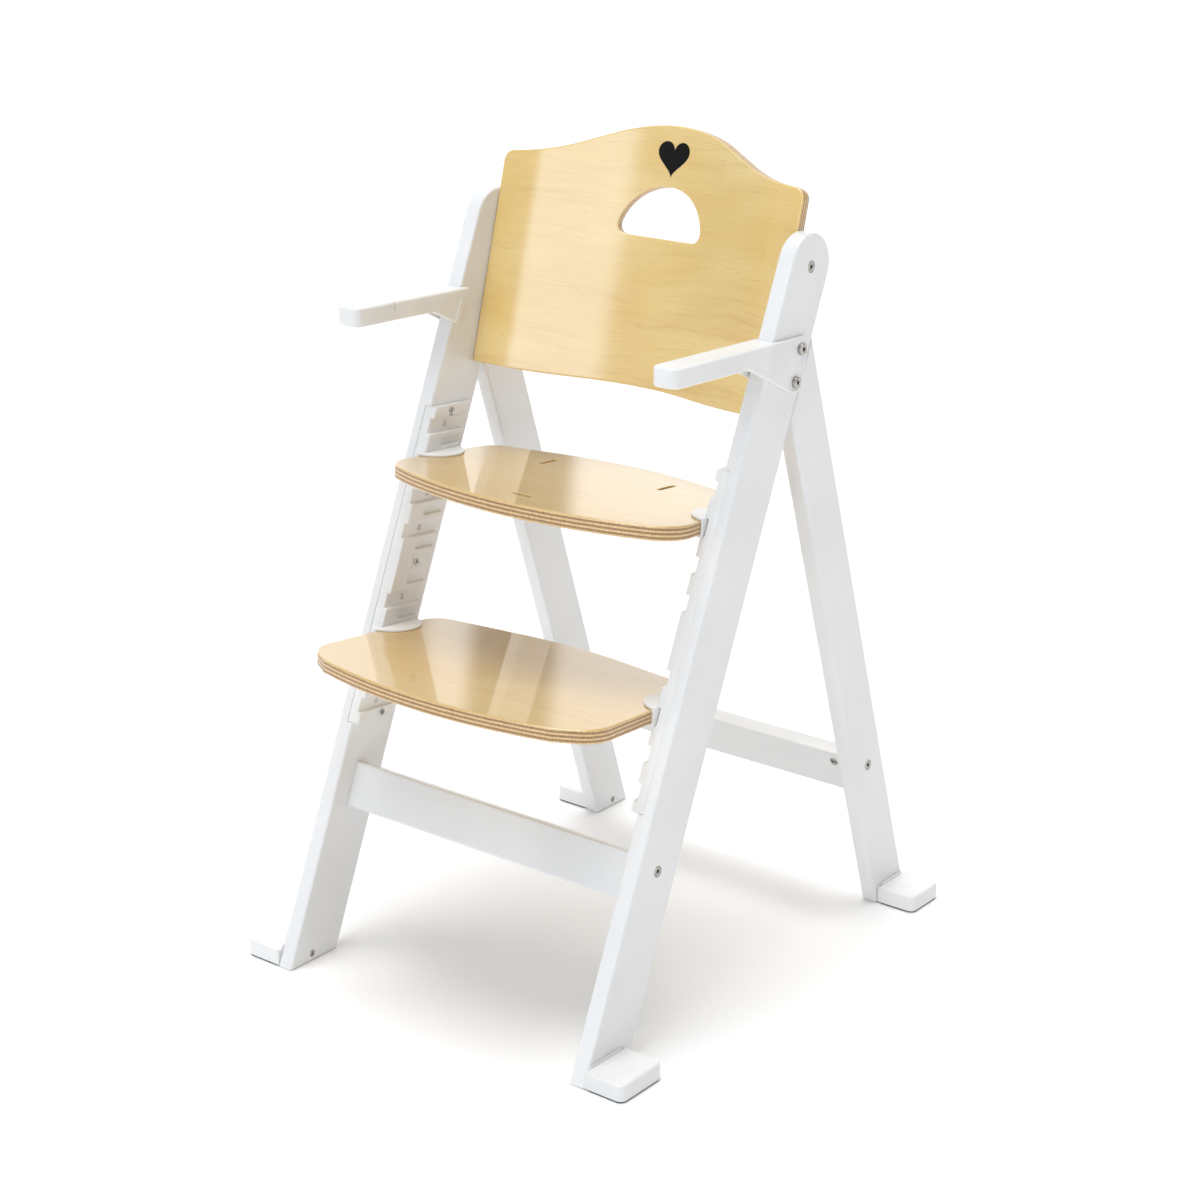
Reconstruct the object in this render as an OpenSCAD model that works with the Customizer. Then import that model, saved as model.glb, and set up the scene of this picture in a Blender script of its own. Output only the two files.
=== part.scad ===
// Baby high chair: two A-shaped sides, two crossbars and a curved backrest,
// with a seat and a footrest that slide into slotted rails at the height wanted.
// The floor is z = 0, the sitter faces -Y and the sitter's left is +X.

/* [Overall] */
// Depth over the legs on the floor
floor_depth = 600; // [500:5:720]
// Width over the outer faces of the legs
frame_width = 426; // [355:1:512]
// Height of the front legs' round tops
leg_top = 800; // [720:5:960]

/* [Legs] */
// Thickness of the leg planks
leg_t = 19; // [17:0.5:24]
// Width of a front leg, across its edges
front_leg_w = 67; // [60:1:80]
// Backward lean of the front legs, in degrees
front_lean = 23.1; // [19:0.1:26]
// Width of a rear leg, across its edges
rear_leg_w = 56; // [46:1:67]
// From the centre of a front leg's top down to the crotch of the two legs
crotch_drop = 148; // [130:1:180]
// Diameter of every wooden dowel
dowel_d = 8; // [6:0.5:9.5]
// Length of every wooden dowel
dowel_len = 36; // [30:1:43]

/* [Crossbars] */
// Thickness of a crossbar
bar_t = 20; // [17:0.5:24]
// Height of a crossbar
bar_h = 50; // [44:1:60]
// From the floor up the front leg to the front bar's centre
front_bar_up = 214; // [180:1:240]
// From the floor up the rear leg to the rear bar's centre
rear_bar_up = 170; // [140:1:300]
// From a bar's centre to its bolt, and to its dowel on the other side
bar_fix_step = 13; // [11:0.5:14]

/* [Rails] */
// Depth that a rail is let into its leg
rebate = 7.4; // [5:0.1:9]
// Width of a rail, from the leg's front edge
rail_w = 59; // [55:0.5:62]
// Width of the blocks between the slots, from the leg's front edge
block_w = 52; // [48:0.5:54]
// How far the slot floors stand in from the leg's inner face
floor_step = 4; // [2:0.1:6]
// Depth of the slots
slot_depth = 4.6; // [3:0.1:7]
// Number of slot places on a rail
slot_places = 9; // [8:1:9]
// The place that has no slot, counted from the top, from 0
blank_place = 4; // [4:1:5]
// Spacing of the slots along the leg
slot_pitch = 38.7; // [36:0.1:44]
// Backward fall of the slots, in degrees
slot_tilt = 4.4; // [3:0.1:6]
// Free height left over each face of a plate in its slot
slot_clear = 0.4; // [0.3:0.05:0.8]
// From the centre of a front leg's top down to the first slot
first_slot_drop = 229; // [220:1:260]
// Slot that holds the seat
seat_place = 1; // [0:1:2]
// Slot that holds the footrest
footrest_place = 6; // [5:1:7]

/* [Seat and footrest] */
// Thickness of the plywood of both plates
plate_t = 15; // [12:0.5:18]
// Gap between a plate's end and the slot floor
end_clear = 0.5; // [0.4:0.1:1]
// From the leg's front edge forward to the seat's front edge
seat_front = 97; // [80:1:120]
// From the leg's front edge back to the seat's rear edge
seat_rear = 133; // [110:1:150]
// From the leg's front edge forward to the footrest's front edge
footrest_front = 147; // [130:1:176]
// From the leg's front edge back to the footrest's rear edge
footrest_rear = 105; // [95:1:126]
// Width of the harness slits in the seat
slit_w = 5.5; // [5:0.1:7]
// Length of the two rear harness slits
slit_len = 30; // [26:1:36]
// Wall of the end clips above and below a plate
clip_wall = 2.5; // [2:0.1:3.5]
// Radius of an end clip's round lobes
lobe_r = 33; // [29:0.5:39]

/* [Backrest] */
// Thickness of the backrest's plywood
back_t = 12; // [11:0.5:15]
// Depth of the backrest's hollow
back_hollow = 40; // [30:1:48]
// How much more upright than the front legs the backrest stands, in degrees
back_turn = 7.8; // [5:0.1:10]
// From the top bolt up to the backrest's shoulders
back_up = 74.5; // [60:0.5:90]
// From the top bolt down to the backrest's lower corners
back_down = 155.5; // [140:0.5:170]
// Rise of the crest above the shoulders
crest_rise = 48.5; // [40:0.5:58]
// Radius of the half-round hand hole
hand_hole_r = 54; // [45:1:60]

/* [Armrests] */
// From the leg's front edge at arm height to the arm's tip
arm_reach = 168; // [140:1:202]
// Height of the arm's section
arm_h = 20; // [17:0.5:24]
// Wall of the cheeks on both sides of the leg
cheek_t = 5.5; // [4.5:0.5:7]
// Rise of the arm towards its tip, in degrees
arm_rise = 2.1; // [0:0.1:4]

/* [Feet] */
// How far a foot stands out from its leg
foot_out = 48; // [40:1:58]
// Height of a foot
foot_h = 20; // [17:0.5:24]
// Length of a front foot
front_foot_len = 67; // [60:1:72]
// Length of a rear foot
rear_foot_len = 57; // [48:1:58]

/* [Fasteners] */
// Diameter of the frame bolts
bolt_d = 6; // [5:0.5:7]
// Diameter of the bolt heads
head_d = 12; // [10:0.5:14]
// Diameter of the barrel nuts
nut_d = 10; // [9:0.5:10.5]
// Diameter of the wood screws
screw_d = 4; // [3:0.5:4.5]

/* [Hidden] */
$fn = 48;

// Clearances and small details
bolt_clear = 0.25;      // round a bolt in wood or plastic
thread_clear = 0.05;    // round a bolt in its nut, a nut, a dowel or a screw in its hole
joint_gap = 0.3;        // between pieces that meet along an edge or a face
far = 2000;             // longer than anything in the chair
head_t = 3.5;           // thickness of a bolt head
hex_af = 4;             // socket of a bolt head, across its flats
hex_deep = 2.2;         // depth of that socket
nut_in = 20;            // from a leg's inner face to a barrel nut's axis
nut_len = 15;           // of the nuts in the crossbars
back_nut_len = 10;      // of the nuts in the backrest
dowel_in_leg = 12;      // how deep a crossbar's dowel goes into its leg
leg_dowel_shares = [0.14, 0.6]; // places of the dowels between two legs, as shares of the joint
bolt_past_nut = 7;      // how far a bolt runs past that axis
screw_head_d = 8;
screw_head_t = 2.4;

// Across the chair, from the middle plane outwards
leg_out = frame_width / 2;
leg_in = leg_out - leg_t;
slot_floor = leg_in - floor_step;
block_face = slot_floor - slot_depth;
rail_back = leg_in + rebate;
plate_end = slot_floor - end_clear;

// Front leg: Z runs up along its front edge and Y across to its back edge
top_s = (leg_top - front_leg_w / 2 * (1 - sin(front_lean))) / cos(front_lean);
function leg_y(s, q) = -floor_depth / 2 + s * sin(front_lean) + q * cos(front_lean);
function leg_z(s, q) = s * cos(front_lean) - q * sin(front_lean);

// Rear leg: it leans so that it meets the crotch and stands on the floor's rear line
crotch_s = top_s - crotch_drop;
crotch_y = leg_y(crotch_s, front_leg_w);
crotch_z = leg_z(crotch_s, front_leg_w);
crotch_run = floor_depth / 2 - crotch_y;
rear_lean = acos(rear_leg_w / norm([crotch_run, crotch_z])) - atan2(crotch_z, crotch_run);
rear_corner_y = floor_depth / 2 - rear_leg_w / cos(rear_lean);
leg_angle = front_lean + rear_lean;
joint_len = rear_leg_w / sin(leg_angle);

// Rail: distances along the leg's front edge, and the slots' own tilted frame
slot_h = plate_t + 2 * slot_clear;
slot_lean = front_lean - slot_tilt;
slot_along = slot_h / cos(slot_lean);
rail_above = 13;        // rail left over the first slot
rail_below = 12.5;      // rail left under the last slot
first_slot_s = top_s - first_slot_drop;
function slot_s(place) = first_slot_s - place * slot_pitch;
rail_top_s = first_slot_s + rail_above;
rail_low_s = slot_s(slot_places - 1) - slot_along - rail_below;
block_along = slot_pitch - slot_along;
pocket_h = 9;
pocket_u = 22;          // from the leg's front edge to a pocket's round end
catch_u = 24;           // from the leg's front edge to a catch hole's centre
catch_size = 6;
catch_deep = 3;
rail_screw_u = 29;      // from the leg's front edge back to the rail screws
rail_screws_at = [
    [0, rail_above * cos(slot_lean) / 2],
    [blank_place, -slot_h / 2],
    [slot_places - 1, -slot_h - rail_below * cos(slot_lean) / 2],
];
rail_screw_len = rail_back - block_face + 9;
places = [for (place = [0:slot_places - 1]) if (place != blank_place) place];

// Plates and clips in the slots' frame: Y is back along the slot from the leg's front edge
corner_r = 38;          // front corners of both plates
rear_corner_r = 29;
lobe_y = 23.5;          // middle of a clip along the slot
clip_edge = 2.5;        // wall of a clip outside the plate's end
clip_screw_x = plate_end - 17;
clip_screw_y = [lobe_y - 17.5, lobe_y + 17.5];
clip_boss_d = 12;
clip_boss_h = 1.5;
clip_screw_len = 12;
clip_reach = sqrt(lobe_r * lobe_r - pow(clip_edge + 1, 2));
clip_low = lobe_y - clip_reach;
clip_high = lobe_y + clip_reach;
seat_corner_y = 68.5;   // from the front edge to the middle of the front corners
seat_back_corner_y = 55.5;
seat_taper = 11.5;      // how much narrower a side is at the rear
seat_front_bow = 437;
seat_rear_bow = 380;
footrest_corner_y = 67.5;
footrest_back_corner_y = 47;
footrest_taper = 6.5;
footrest_front_bow = 523;
footrest_rear_bow = 480;
slit_y = 65.5;          // start of the rear slits
slit_x = 79;
front_slit_y = -60;
front_slit_len = 26;

// Backrest frame: at the top bolt's height, Y is its thickness and Z runs up it
back_half = leg_in - joint_gap;
hollow_run = back_half - 24;
hollow_r = 220;
hollow_slope = 19;
crest_r = 180;
crest_slope = 23.5;
low_rise = 5;           // rise of the lower edge in the middle
low_run = 150;
low_r = 1130;
low_slope = 3.8;
back_steps = 48;        // facets across the backrest
hand_hole_z = 5.5;      // flat side of the hand hole
hand_corner_r = 10;
shoulder_r = 12;
arm_bolt_z = [-81, -114.5];

// Armrest, seen from the side, from the leg's front edge at the arm's top
arm_top_s = top_s - 84.5;
arm_y = leg_y(arm_top_s, 0);
arm_z = leg_z(arm_top_s, 0);
arm_tip_r = 10;
cheek_pad_r = 12;       // round each armrest bolt
cheek_corner_r = 5;
cheek_rim = 3;
cheek_field = 0.8;      // depth of the field inside the rim
tray_notch_x = 58;      // from the arm's tip to the tray notch
arm_out = leg_out + joint_gap + cheek_t;
arm_in = leg_in - joint_gap - cheek_t;

// Feet
foot_corner_r = 8;
foot_lip_h = 3;
foot_lip_t = 2;
pad_t = 1.5;
pad_inset = 1;
foot_screw_len = leg_t + 24;
foot_screw_z = 9;
foot_inset = 1;         // of a foot from the end of its leg on the floor
front_foot_y = -floor_depth / 2 + front_foot_len / 2 + foot_inset;
rear_foot_y = floor_depth / 2 - rear_foot_len / 2 - foot_inset;

white = "white";
plastic = "ivory";
ply = "burlywood";
steel = "silver";

// ---- Helpers ----

// Mirrors a piece made for the sitter's left onto the side wanted
module on_side(side) mirror([side < 0 ? 1 : 0, 0, 0]) children();
module on_both_sides() for (side = [1, -1]) on_side(side) children();

// Extrudes an outline drawn in Y and Z from x0 to x1
module slab(x0, x1) translate([x0, 0, 0]) rotate([90, 0, 90]) linear_extrude(x1 - x0) children();

// A rod of radius r along X from x0 to x1, in the frame of its place
module rod(x0, x1, r) translate([x0, 0, 0]) rotate([0, 90, 0]) cylinder(h = x1 - x0, r = r);

module in_front_leg(s = 0, q = 0)
    translate([0, -floor_depth / 2, 0]) rotate([-front_lean, 0, 0]) translate([0, q, s]) children();
module in_rear_leg(s = 0, q = 0)
    translate([0, rear_corner_y, 0]) rotate([rear_lean, 0, 0]) translate([0, q, s]) children();
module in_slot(place)
    translate([0, leg_y(slot_s(place), 0), leg_z(slot_s(place), 0)]) rotate([-slot_tilt, 0, 0])
        children();
module in_back() in_front_leg(top_s, front_leg_w / 2) rotate([back_turn, 0, 0]) children();

// Corner-rounded rectangle made of true arcs, its lower left corner at the origin
module round_rect(w, d, r) {
    translate([r, 0]) square([w - 2 * r, d]);
    translate([0, r]) square([w, d - 2 * r]);
    for (x = [r, w - r], y = [r, d - r]) translate([x, y]) circle(r);
}

// Drop of an S-shaped curve below its crest at x: a crest arc of radius r, a straight of the
// given slope, and an arc that ends level after the whole run and rise
function swell(x, run, rise, r, slope) =
    let (x1 = r * sin(slope), drop = r * (1 - cos(slope)))
    let (x2 = (rise - drop + x1 * tan(slope) - run * tan(slope / 2))
        / (tan(slope) - tan(slope / 2)))
    let (r2 = (run - x2) / sin(slope), a = min(abs(x), run))
    a < x1 ? r - sqrt(r * r - a * a)
    : a < x2 ? drop + (a - x1) * tan(slope)
    : rise - r2 + sqrt(r2 * r2 - (run - a) * (run - a));

// Hex-socket bolt along +X, the underside of its head at the origin
module bolt(len) {
    difference() {
        rod(-head_t, 0, head_d / 2);
        translate([-head_t - 1, 0, 0]) rotate([0, 90, 0])
            cylinder(h = hex_deep + 1, r = hex_af / sqrt(3), $fn = 6);
    }
    rod(0, len, bolt_d / 2);
}

// Countersunk wood screw along +X, its head's top at the origin
module wood_screw(len) {
    difference() {
        union() {
            rotate([0, 90, 0]) cylinder(h = screw_head_t, r1 = screw_head_d / 2, r2 = screw_d / 2);
            rod(0, len, screw_d / 2);
        }
        for (turn = [0, 90]) rotate([turn, 0, 0]) translate([-1, -2.5, -0.5]) cube([2.2, 5, 1]);
    }
}

// The hole for such a screw: a countersink and a pilot hole
module screw_hole(len) {
    translate([-0.01, 0, 0]) rotate([0, 90, 0])
        cylinder(h = screw_head_t, r1 = screw_head_d / 2 + 0.1, r2 = screw_d / 2 + 0.1);
    rod(0, len + 1, screw_d / 2 + thread_clear);
}

// Places things at each screw of a rail, in the slots' frame
module at_rail_screws() for (p = rail_screws_at)
    in_slot(p[0]) translate([0, rail_screw_u, p[1]]) children();

// Places things at the bolt and at the dowel of each crossbar
module at_front_bar(step) in_front_leg(front_bar_up + step, front_leg_w / 2) children();
module at_rear_bar(step) in_rear_leg(rear_bar_up + step, rear_leg_w / 2) children();

// ---- Legs ----

module front_leg_outline(grow = 0)
    translate([-floor_depth / 2, 0]) rotate(-front_lean) {
        translate([-grow, -100]) square([front_leg_w + 2 * grow, top_s + 100]);
        translate([front_leg_w / 2, top_s]) circle(front_leg_w / 2 + grow);
    }

module rear_leg_outline()
    difference() {
        translate([rear_corner_y, 0]) rotate(rear_lean)
            translate([0, -100]) square([rear_leg_w, crotch_z * 2]);
        translate([-floor_depth / 2, 0]) rotate(-front_lean)
            translate([front_leg_w - far, -far]) square([far, 2 * far]);
    }

module above_floor() intersection() {
    children();
    translate([-far, 0]) square([2 * far, far]);
}

// Outline of the part of a leg that a rail covers
module rail_outline(w, along_low, along_high)
    intersection() {
        translate([-floor_depth / 2, 0]) rotate(-front_lean)
            translate([0, along_low - 100]) square([w, along_high - along_low + 200]);
        translate([leg_y(along_high, 0), leg_z(along_high, 0)]) rotate(-slot_tilt)
            translate([-far, -far]) square([2 * far, far]);
        translate([leg_y(along_low, 0), leg_z(along_low, 0)]) rotate(-slot_tilt)
            translate([-far, 0]) square([2 * far, far]);
    }

// Dowels between the legs, from the joint face into the rear leg, with clearance round them
module leg_dowel_rods(clear)
    for (share = leg_dowel_shares)
        in_front_leg(crotch_s + joint_len * share, front_leg_w - dowel_len / 2 - clear)
            translate([leg_out - leg_t / 2, 0, 0]) rotate([-90, 0, 0])
                cylinder(h = dowel_len + 2 * clear, r = dowel_d / 2 + clear);

// Bores of the bolts' heads and shanks through a leg, from outside
module leg_bolt_bore() {
    rod(leg_in - 1, leg_out + 1, bolt_d / 2 + bolt_clear);
    rod(leg_out - head_t, leg_out + 1, head_d / 2 + bolt_clear);
}

module leg_dowel_bore() rod(leg_in - 1, leg_in + dowel_in_leg, dowel_d / 2 + thread_clear);

module foot_screw_bore(y) translate([leg_in, y, foot_screw_z]) screw_hole(foot_screw_len);

module front_leg() color(white) difference() {
    slab(leg_in, leg_out) above_floor() front_leg_outline();
    slab(leg_in - 1, rail_back) rail_outline(rail_w, rail_low_s, rail_top_s);
    at_front_bar(bar_fix_step) leg_bolt_bore();
    at_front_bar(-bar_fix_step) leg_dowel_bore();
    in_back() leg_bolt_bore();
    in_back() for (z = arm_bolt_z)
        translate([0, 0, z]) rod(leg_in - 1, leg_out + 1, bolt_d / 2 + bolt_clear);
    leg_dowel_rods(thread_clear);
    at_rail_screws() rod(rail_back - 1, block_face + rail_screw_len + 1,
        screw_d / 2 + thread_clear);
    foot_screw_bore(front_foot_y);
}

module rear_leg() color(white) difference() {
    slab(leg_in, leg_out) above_floor() rear_leg_outline();
    at_rear_bar(bar_fix_step) leg_bolt_bore();
    at_rear_bar(-bar_fix_step) leg_dowel_bore();
    leg_dowel_rods(thread_clear);
    foot_screw_bore(rear_foot_y);
}

// ---- Crossbars ----

// One bar in its own frame: along X, bar_t thick in Y, bar_h high in Z. nut_mouth says which
// face the barrel nuts go in from.
module crossbar(nut_mouth) color(white) difference() {
    translate([-leg_in, -bar_t / 2, -bar_h / 2]) cube([2 * leg_in, bar_t, bar_h]);
    on_both_sides() {
        translate([0, 0, bar_fix_step]) rod(leg_in - nut_in - bolt_past_nut - 1, leg_in + 1,
            bolt_d / 2 + bolt_clear);
        translate([leg_in - nut_in, nut_mouth * (bar_t - nut_len), bar_fix_step])
            rotate([90, 0, 0])
            cylinder(h = bar_t, r = nut_d / 2 + thread_clear, center = true);
        translate([0, 0, -bar_fix_step])
            rod(leg_in + dowel_in_leg - dowel_len - 1, leg_in + 1, dowel_d / 2 + thread_clear);
    }
}

module front_crossbar() in_front_leg(front_bar_up, front_leg_w / 2) crossbar(1);
module rear_crossbar() in_rear_leg(rear_bar_up, rear_leg_w / 2) crossbar(-1);

// Barrel nut across the bolt's axis, its slotted face flush with the bar's face
module barrel_nut(len, shift) color(steel) difference() {
    translate([leg_in - nut_in, shift, 0]) rotate([90, 0, 0])
        cylinder(h = len, r = nut_d / 2, center = true);
    rod(leg_in - nut_in - nut_d, leg_in, bolt_d / 2 + thread_clear);
    translate([leg_in - nut_in - nut_d, sign(shift) * (len / 2 + abs(shift)) - 1, -0.8])
        cube([2 * nut_d, 2, 1.6]);
}

module crossbar_barrel_nuts() on_both_sides() {
    at_front_bar(bar_fix_step) barrel_nut(nut_len - 0.5, (bar_t - nut_len) / 2);
    at_rear_bar(bar_fix_step) barrel_nut(nut_len - 0.5, -(bar_t - nut_len) / 2);
}

module frame_bolt() color(steel)
    translate([leg_out - head_t, 0, 0]) mirror([1, 0, 0])
        bolt(leg_t - head_t + nut_in + bolt_past_nut);

module crossbar_bolts() on_both_sides() {
    at_front_bar(bar_fix_step) frame_bolt();
    at_rear_bar(bar_fix_step) frame_bolt();
}

module crossbar_dowels() color(ply) on_both_sides() {
    at_front_bar(-bar_fix_step) bar_dowel();
    at_rear_bar(-bar_fix_step) bar_dowel();
}
module bar_dowel() rod(leg_in + dowel_in_leg - dowel_len, leg_in + dowel_in_leg - 0.5, dowel_d / 2);

module leg_dowels() color(ply) on_both_sides() leg_dowel_rods(0);

// ---- Rails ----

// Pocket moulded into a block, open to the back, with a round front end
module pocket_outline(place)
    translate([leg_y(slot_s(place) - slot_along - block_along / 2, 0),
            leg_z(slot_s(place) - slot_along - block_along / 2, 0)])
        rotate(-slot_tilt) translate([pocket_u, -pocket_h / 2]) {
            translate([pocket_h / 2, 0]) square([100, pocket_h]);
            translate([pocket_h / 2, pocket_h / 2]) circle(pocket_h / 2);
        }

module slot_outline(place)
    translate([leg_y(slot_s(place), 0), leg_z(slot_s(place), 0)]) rotate(-slot_tilt)
        translate([-100, -slot_h]) square([300, slot_h]);

module rail() color(plastic) difference() {
    union() {
        slab(slot_floor, rail_back) rail_outline(rail_w, rail_low_s, rail_top_s);
        slab(block_face, slot_floor + 1) difference() {
            rail_outline(block_w, rail_low_s, rail_top_s);
            for (place = places) slot_outline(place);
            for (place = [0:slot_places - 2]) pocket_outline(place);
        }
    }
    for (place = places) in_slot(place)
        translate([slot_floor - 1, catch_u - catch_size / 2, -slot_h / 2 - catch_size / 2])
            cube([catch_deep + 1, catch_size, catch_size]);
    at_rail_screws() translate([block_face, 0, 0]) screw_hole(rail_screw_len);
}

module rail_screws() color(steel) on_both_sides() at_rail_screws()
    translate([block_face, 0, 0]) wood_screw(rail_screw_len);

// ---- Seat and footrest ----

// Outline of a plate in X and Y of its slot: bowed front and rear edges, rounded corners.
// front and rear are the edges' places, r_front and r_rear their bows.
module plate_outline(front, rear, side_y, rear_y, rear_in, r_front, r_rear) hull() {
    front_x = plate_end - corner_r;
    rear_x = plate_end - rear_in - rear_corner_r;
    for (side = [1, -1]) {
        translate([side * front_x, side_y]) circle(corner_r, $fn = 64);
        translate([side * rear_x, rear_y]) circle(rear_corner_r, $fn = 64);
    }
    bow_front = [for (i = [-10:10]) let (x = i / 10 * front_x)
        [x, -front + r_front - sqrt(r_front * r_front - x * x)]];
    bow_rear = [for (i = [10:-1:-10]) let (x = i / 10 * rear_x)
        [x, rear - r_rear + sqrt(r_rear * r_rear - x * x)]];
    polygon(concat(bow_front, bow_rear));
}

module seat_outline() plate_outline(seat_front, seat_rear, seat_corner_y - seat_front,
    seat_rear - seat_back_corner_y, seat_taper, seat_front_bow, seat_rear_bow);
module footrest_outline() plate_outline(footrest_front, footrest_rear,
    footrest_corner_y - footrest_front, footrest_rear - footrest_back_corner_y,
    footrest_taper, footrest_front_bow, footrest_rear_bow);

// A plate between its two faces, notched at both ends for the clips
module plate() difference() {
    translate([0, 0, -slot_clear - plate_t]) linear_extrude(plate_t) difference() {
        children();
        on_both_sides() translate([plate_end - clip_edge, clip_low - 0.2])
            square([2 * clip_edge, clip_high - clip_low + 0.4]);
    }
    on_both_sides() for (y = clip_screw_y)
        translate([clip_screw_x, y, -slot_clear - plate_t - 1])
            cylinder(h = clip_screw_len - clip_wall + 1.5, r = screw_d / 2 + thread_clear);
}

module seat_plate() color(ply) in_slot(seat_place) difference() {
    plate() seat_outline();
    translate([0, 0, -slot_clear - plate_t - 1]) linear_extrude(plate_t + 2) {
        for (side = [1, -1]) translate([side * slit_x - slit_w / 2, slit_y])
            round_rect(slit_w, slit_len, slit_w / 2 - 0.01);
        translate([-front_slit_len / 2, front_slit_y - slit_w / 2])
            round_rect(front_slit_len, slit_w, slit_w / 2 - 0.01);
    }
}

module footrest_plate() color(ply) in_slot(footrest_place) plate() footrest_outline();

// Lobes of a clip in X and Y, cut off at the given distance from the middle plane
module lobe(cut) intersection() {
    translate([plate_end + clip_edge + 1, lobe_y]) circle(lobe_r, $fn = 96);
    square([2 * cut, far], center = true);
}

// Keeps what lies in front of the rails' front faces, in the slots' frame
module before_rail() slab(0, far) rotate(-slot_lean)
    translate([-far - joint_gap, -far / 2]) square([far, far]);

// One end clip: two lobes that grip the plate, a key that fills the slot outside the plate,
// and a shoulder in front that stops against the rail
module clip() color(plastic) difference() {
    union() {
        translate([0, 0, -slot_clear - plate_t - clip_wall])
            linear_extrude(plate_t + 2 * clip_wall) lobe(block_face - joint_gap);
        translate([0, 0, -slot_clear - plate_t]) linear_extrude(plate_t) lobe(plate_end);
        intersection() {
            translate([0, 0, -slot_clear - plate_t - clip_wall])
                linear_extrude(plate_t + 2 * clip_wall) lobe(plate_end);
            before_rail();
        }
        for (y = clip_screw_y)
            translate([clip_screw_x, y, -slot_clear - plate_t - clip_wall - clip_boss_h])
                cylinder(h = clip_boss_h + 1, r = clip_boss_d / 2);
    }
    translate([0, 0, -slot_clear - plate_t]) linear_extrude(plate_t) difference() {
        children();
        translate([plate_end - clip_edge + 0.1, clip_low - 20]) square([20, 200]);
    }
    for (y = clip_screw_y)
        translate([clip_screw_x, y, -slot_clear - plate_t - clip_wall - clip_boss_h])
            rotate([0, -90, 0]) screw_hole(clip_wall + clip_boss_h);
}

module seat_clip() in_slot(seat_place) clip() seat_outline();
module footrest_clip() in_slot(footrest_place) clip() footrest_outline();

module clip_screws() color(steel) on_both_sides() for (y = clip_screw_y)
    translate([clip_screw_x, y, -slot_clear - plate_t - clip_wall - clip_boss_h])
        rotate([0, -90, 0]) wood_screw(clip_screw_len);
module seat_clip_screws() in_slot(seat_place) clip_screws();
module footrest_clip_screws() in_slot(footrest_place) clip_screws();

// ---- Backrest ----

function hollow(x) = back_hollow - swell(x, hollow_run, back_hollow, hollow_r, hollow_slope);
function crest(x) = back_up + crest_rise - swell(x, back_half, crest_rise, crest_r, crest_slope);
function low_edge(x) = -back_down + low_rise - swell(x, low_run, low_rise, low_r, low_slope);
function across(i) = back_half * (2 * i / back_steps - 1);

// Plan of the bent plywood: its front face follows the hollow, its back face lies back_t behind
module back_plan() {
    turn = [for (i = [0:back_steps]) let (x = across(i))
        i == 0 || i == back_steps ? 0 : atan2(hollow(x + 1) - hollow(x - 1), 2)];
    front = [for (i = [0:back_steps]) [across(i), hollow(across(i)) - back_t / 2]];
    polygon(concat(front, [for (i = [back_steps:-1:0])
        front[i] + back_t * [-sin(turn[i]), cos(turn[i])]]));
}

module back_outline() difference() {
    polygon(concat(
        [for (i = [0:back_steps]) [across(i), low_edge(across(i))]],
        [for (i = [back_steps:-1:0]) [across(i), crest(across(i))]]));
    for (side = [1, -1]) translate([side * (back_half - shoulder_r), back_up - shoulder_r])
        difference() {
            translate([side > 0 ? 0 : -shoulder_r, 0]) square([shoulder_r, shoulder_r + 1]);
            circle(shoulder_r);
        }
}

// Half-round hand hole with a flat side below and rounded lower corners
module hand_hole() {
    corner_x = sqrt(pow(hand_hole_r - hand_corner_r, 2) - pow(hand_corner_r, 2));
    corner_z = hand_hole_z + hand_corner_r;
    intersection() {
        translate([0, hand_hole_z]) circle(hand_hole_r);
        translate([-far, corner_z]) square([2 * far, far]);
    }
    translate([-corner_x, hand_hole_z]) square([2 * corner_x, hand_corner_r + 0.01]);
    for (side = [1, -1]) translate([side * corner_x, corner_z]) circle(hand_corner_r);
}

// Extrudes an outline drawn in X and Z through the backrest
module through_back() rotate([90, 0, 0]) linear_extrude(4 * back_hollow, center = true) children();

module backrest() color(ply) in_back() difference() {
    intersection() {
        translate([0, 0, -far / 2]) linear_extrude(far) back_plan();
        through_back() back_outline();
    }
    through_back() hand_hole();
    on_both_sides() for (z = concat([0], arm_bolt_z)) translate([0, 0, z]) {
        rod(leg_in - nut_in - bolt_past_nut - 1, leg_in + 1, bolt_d / 2 + bolt_clear);
        translate([leg_in - nut_in, back_t - back_nut_len, 0]) rotate([90, 0, 0])
            cylinder(h = back_t, r = nut_d / 2 + thread_clear, center = true);
    }
}

module backrest_bolts() on_both_sides() in_back() frame_bolt();

module armrest_bolts() color(steel) on_both_sides() in_back() for (z = arm_bolt_z)
    translate([arm_out - cheek_field, 0, z]) mirror([1, 0, 0])
        bolt(arm_out - cheek_field - leg_in + nut_in + bolt_past_nut);

module backrest_barrel_nuts() on_both_sides() in_back() for (z = concat([0], arm_bolt_z))
    translate([0, 0, z]) barrel_nut(back_nut_len - 0.5, (back_t - back_nut_len) / 2);

// ---- Armrests ----

// Side view of the arm from its tip, at the origin, back along its own length
module arm_bar(len) translate([arm_y, arm_z]) rotate(-arm_rise)
    translate([-arm_reach, -arm_h]) square([arm_reach + len, arm_h]);

// Place in Y and Z of an armrest bolt at height z in the backrest's frame
function bolt_at(z) = let (s = top_s + z * cos(back_turn),
        q = front_leg_w / 2 - z * sin(back_turn)) [leg_y(s, q), leg_z(s, q)];

// Cheek outside the leg: a rounded triangle round both bolts, up to the arm's top
module outer_cheek_outline() hull() {
    for (z = arm_bolt_z) translate(bolt_at(z)) circle(cheek_pad_r);
    translate([bolt_at(arm_bolt_z[0])[0] + cheek_pad_r - cheek_corner_r,
        arm_z - cheek_corner_r - 2]) circle(cheek_corner_r);
    translate([arm_y - 39, arm_z - arm_h + 3]) circle(1);
}

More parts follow.
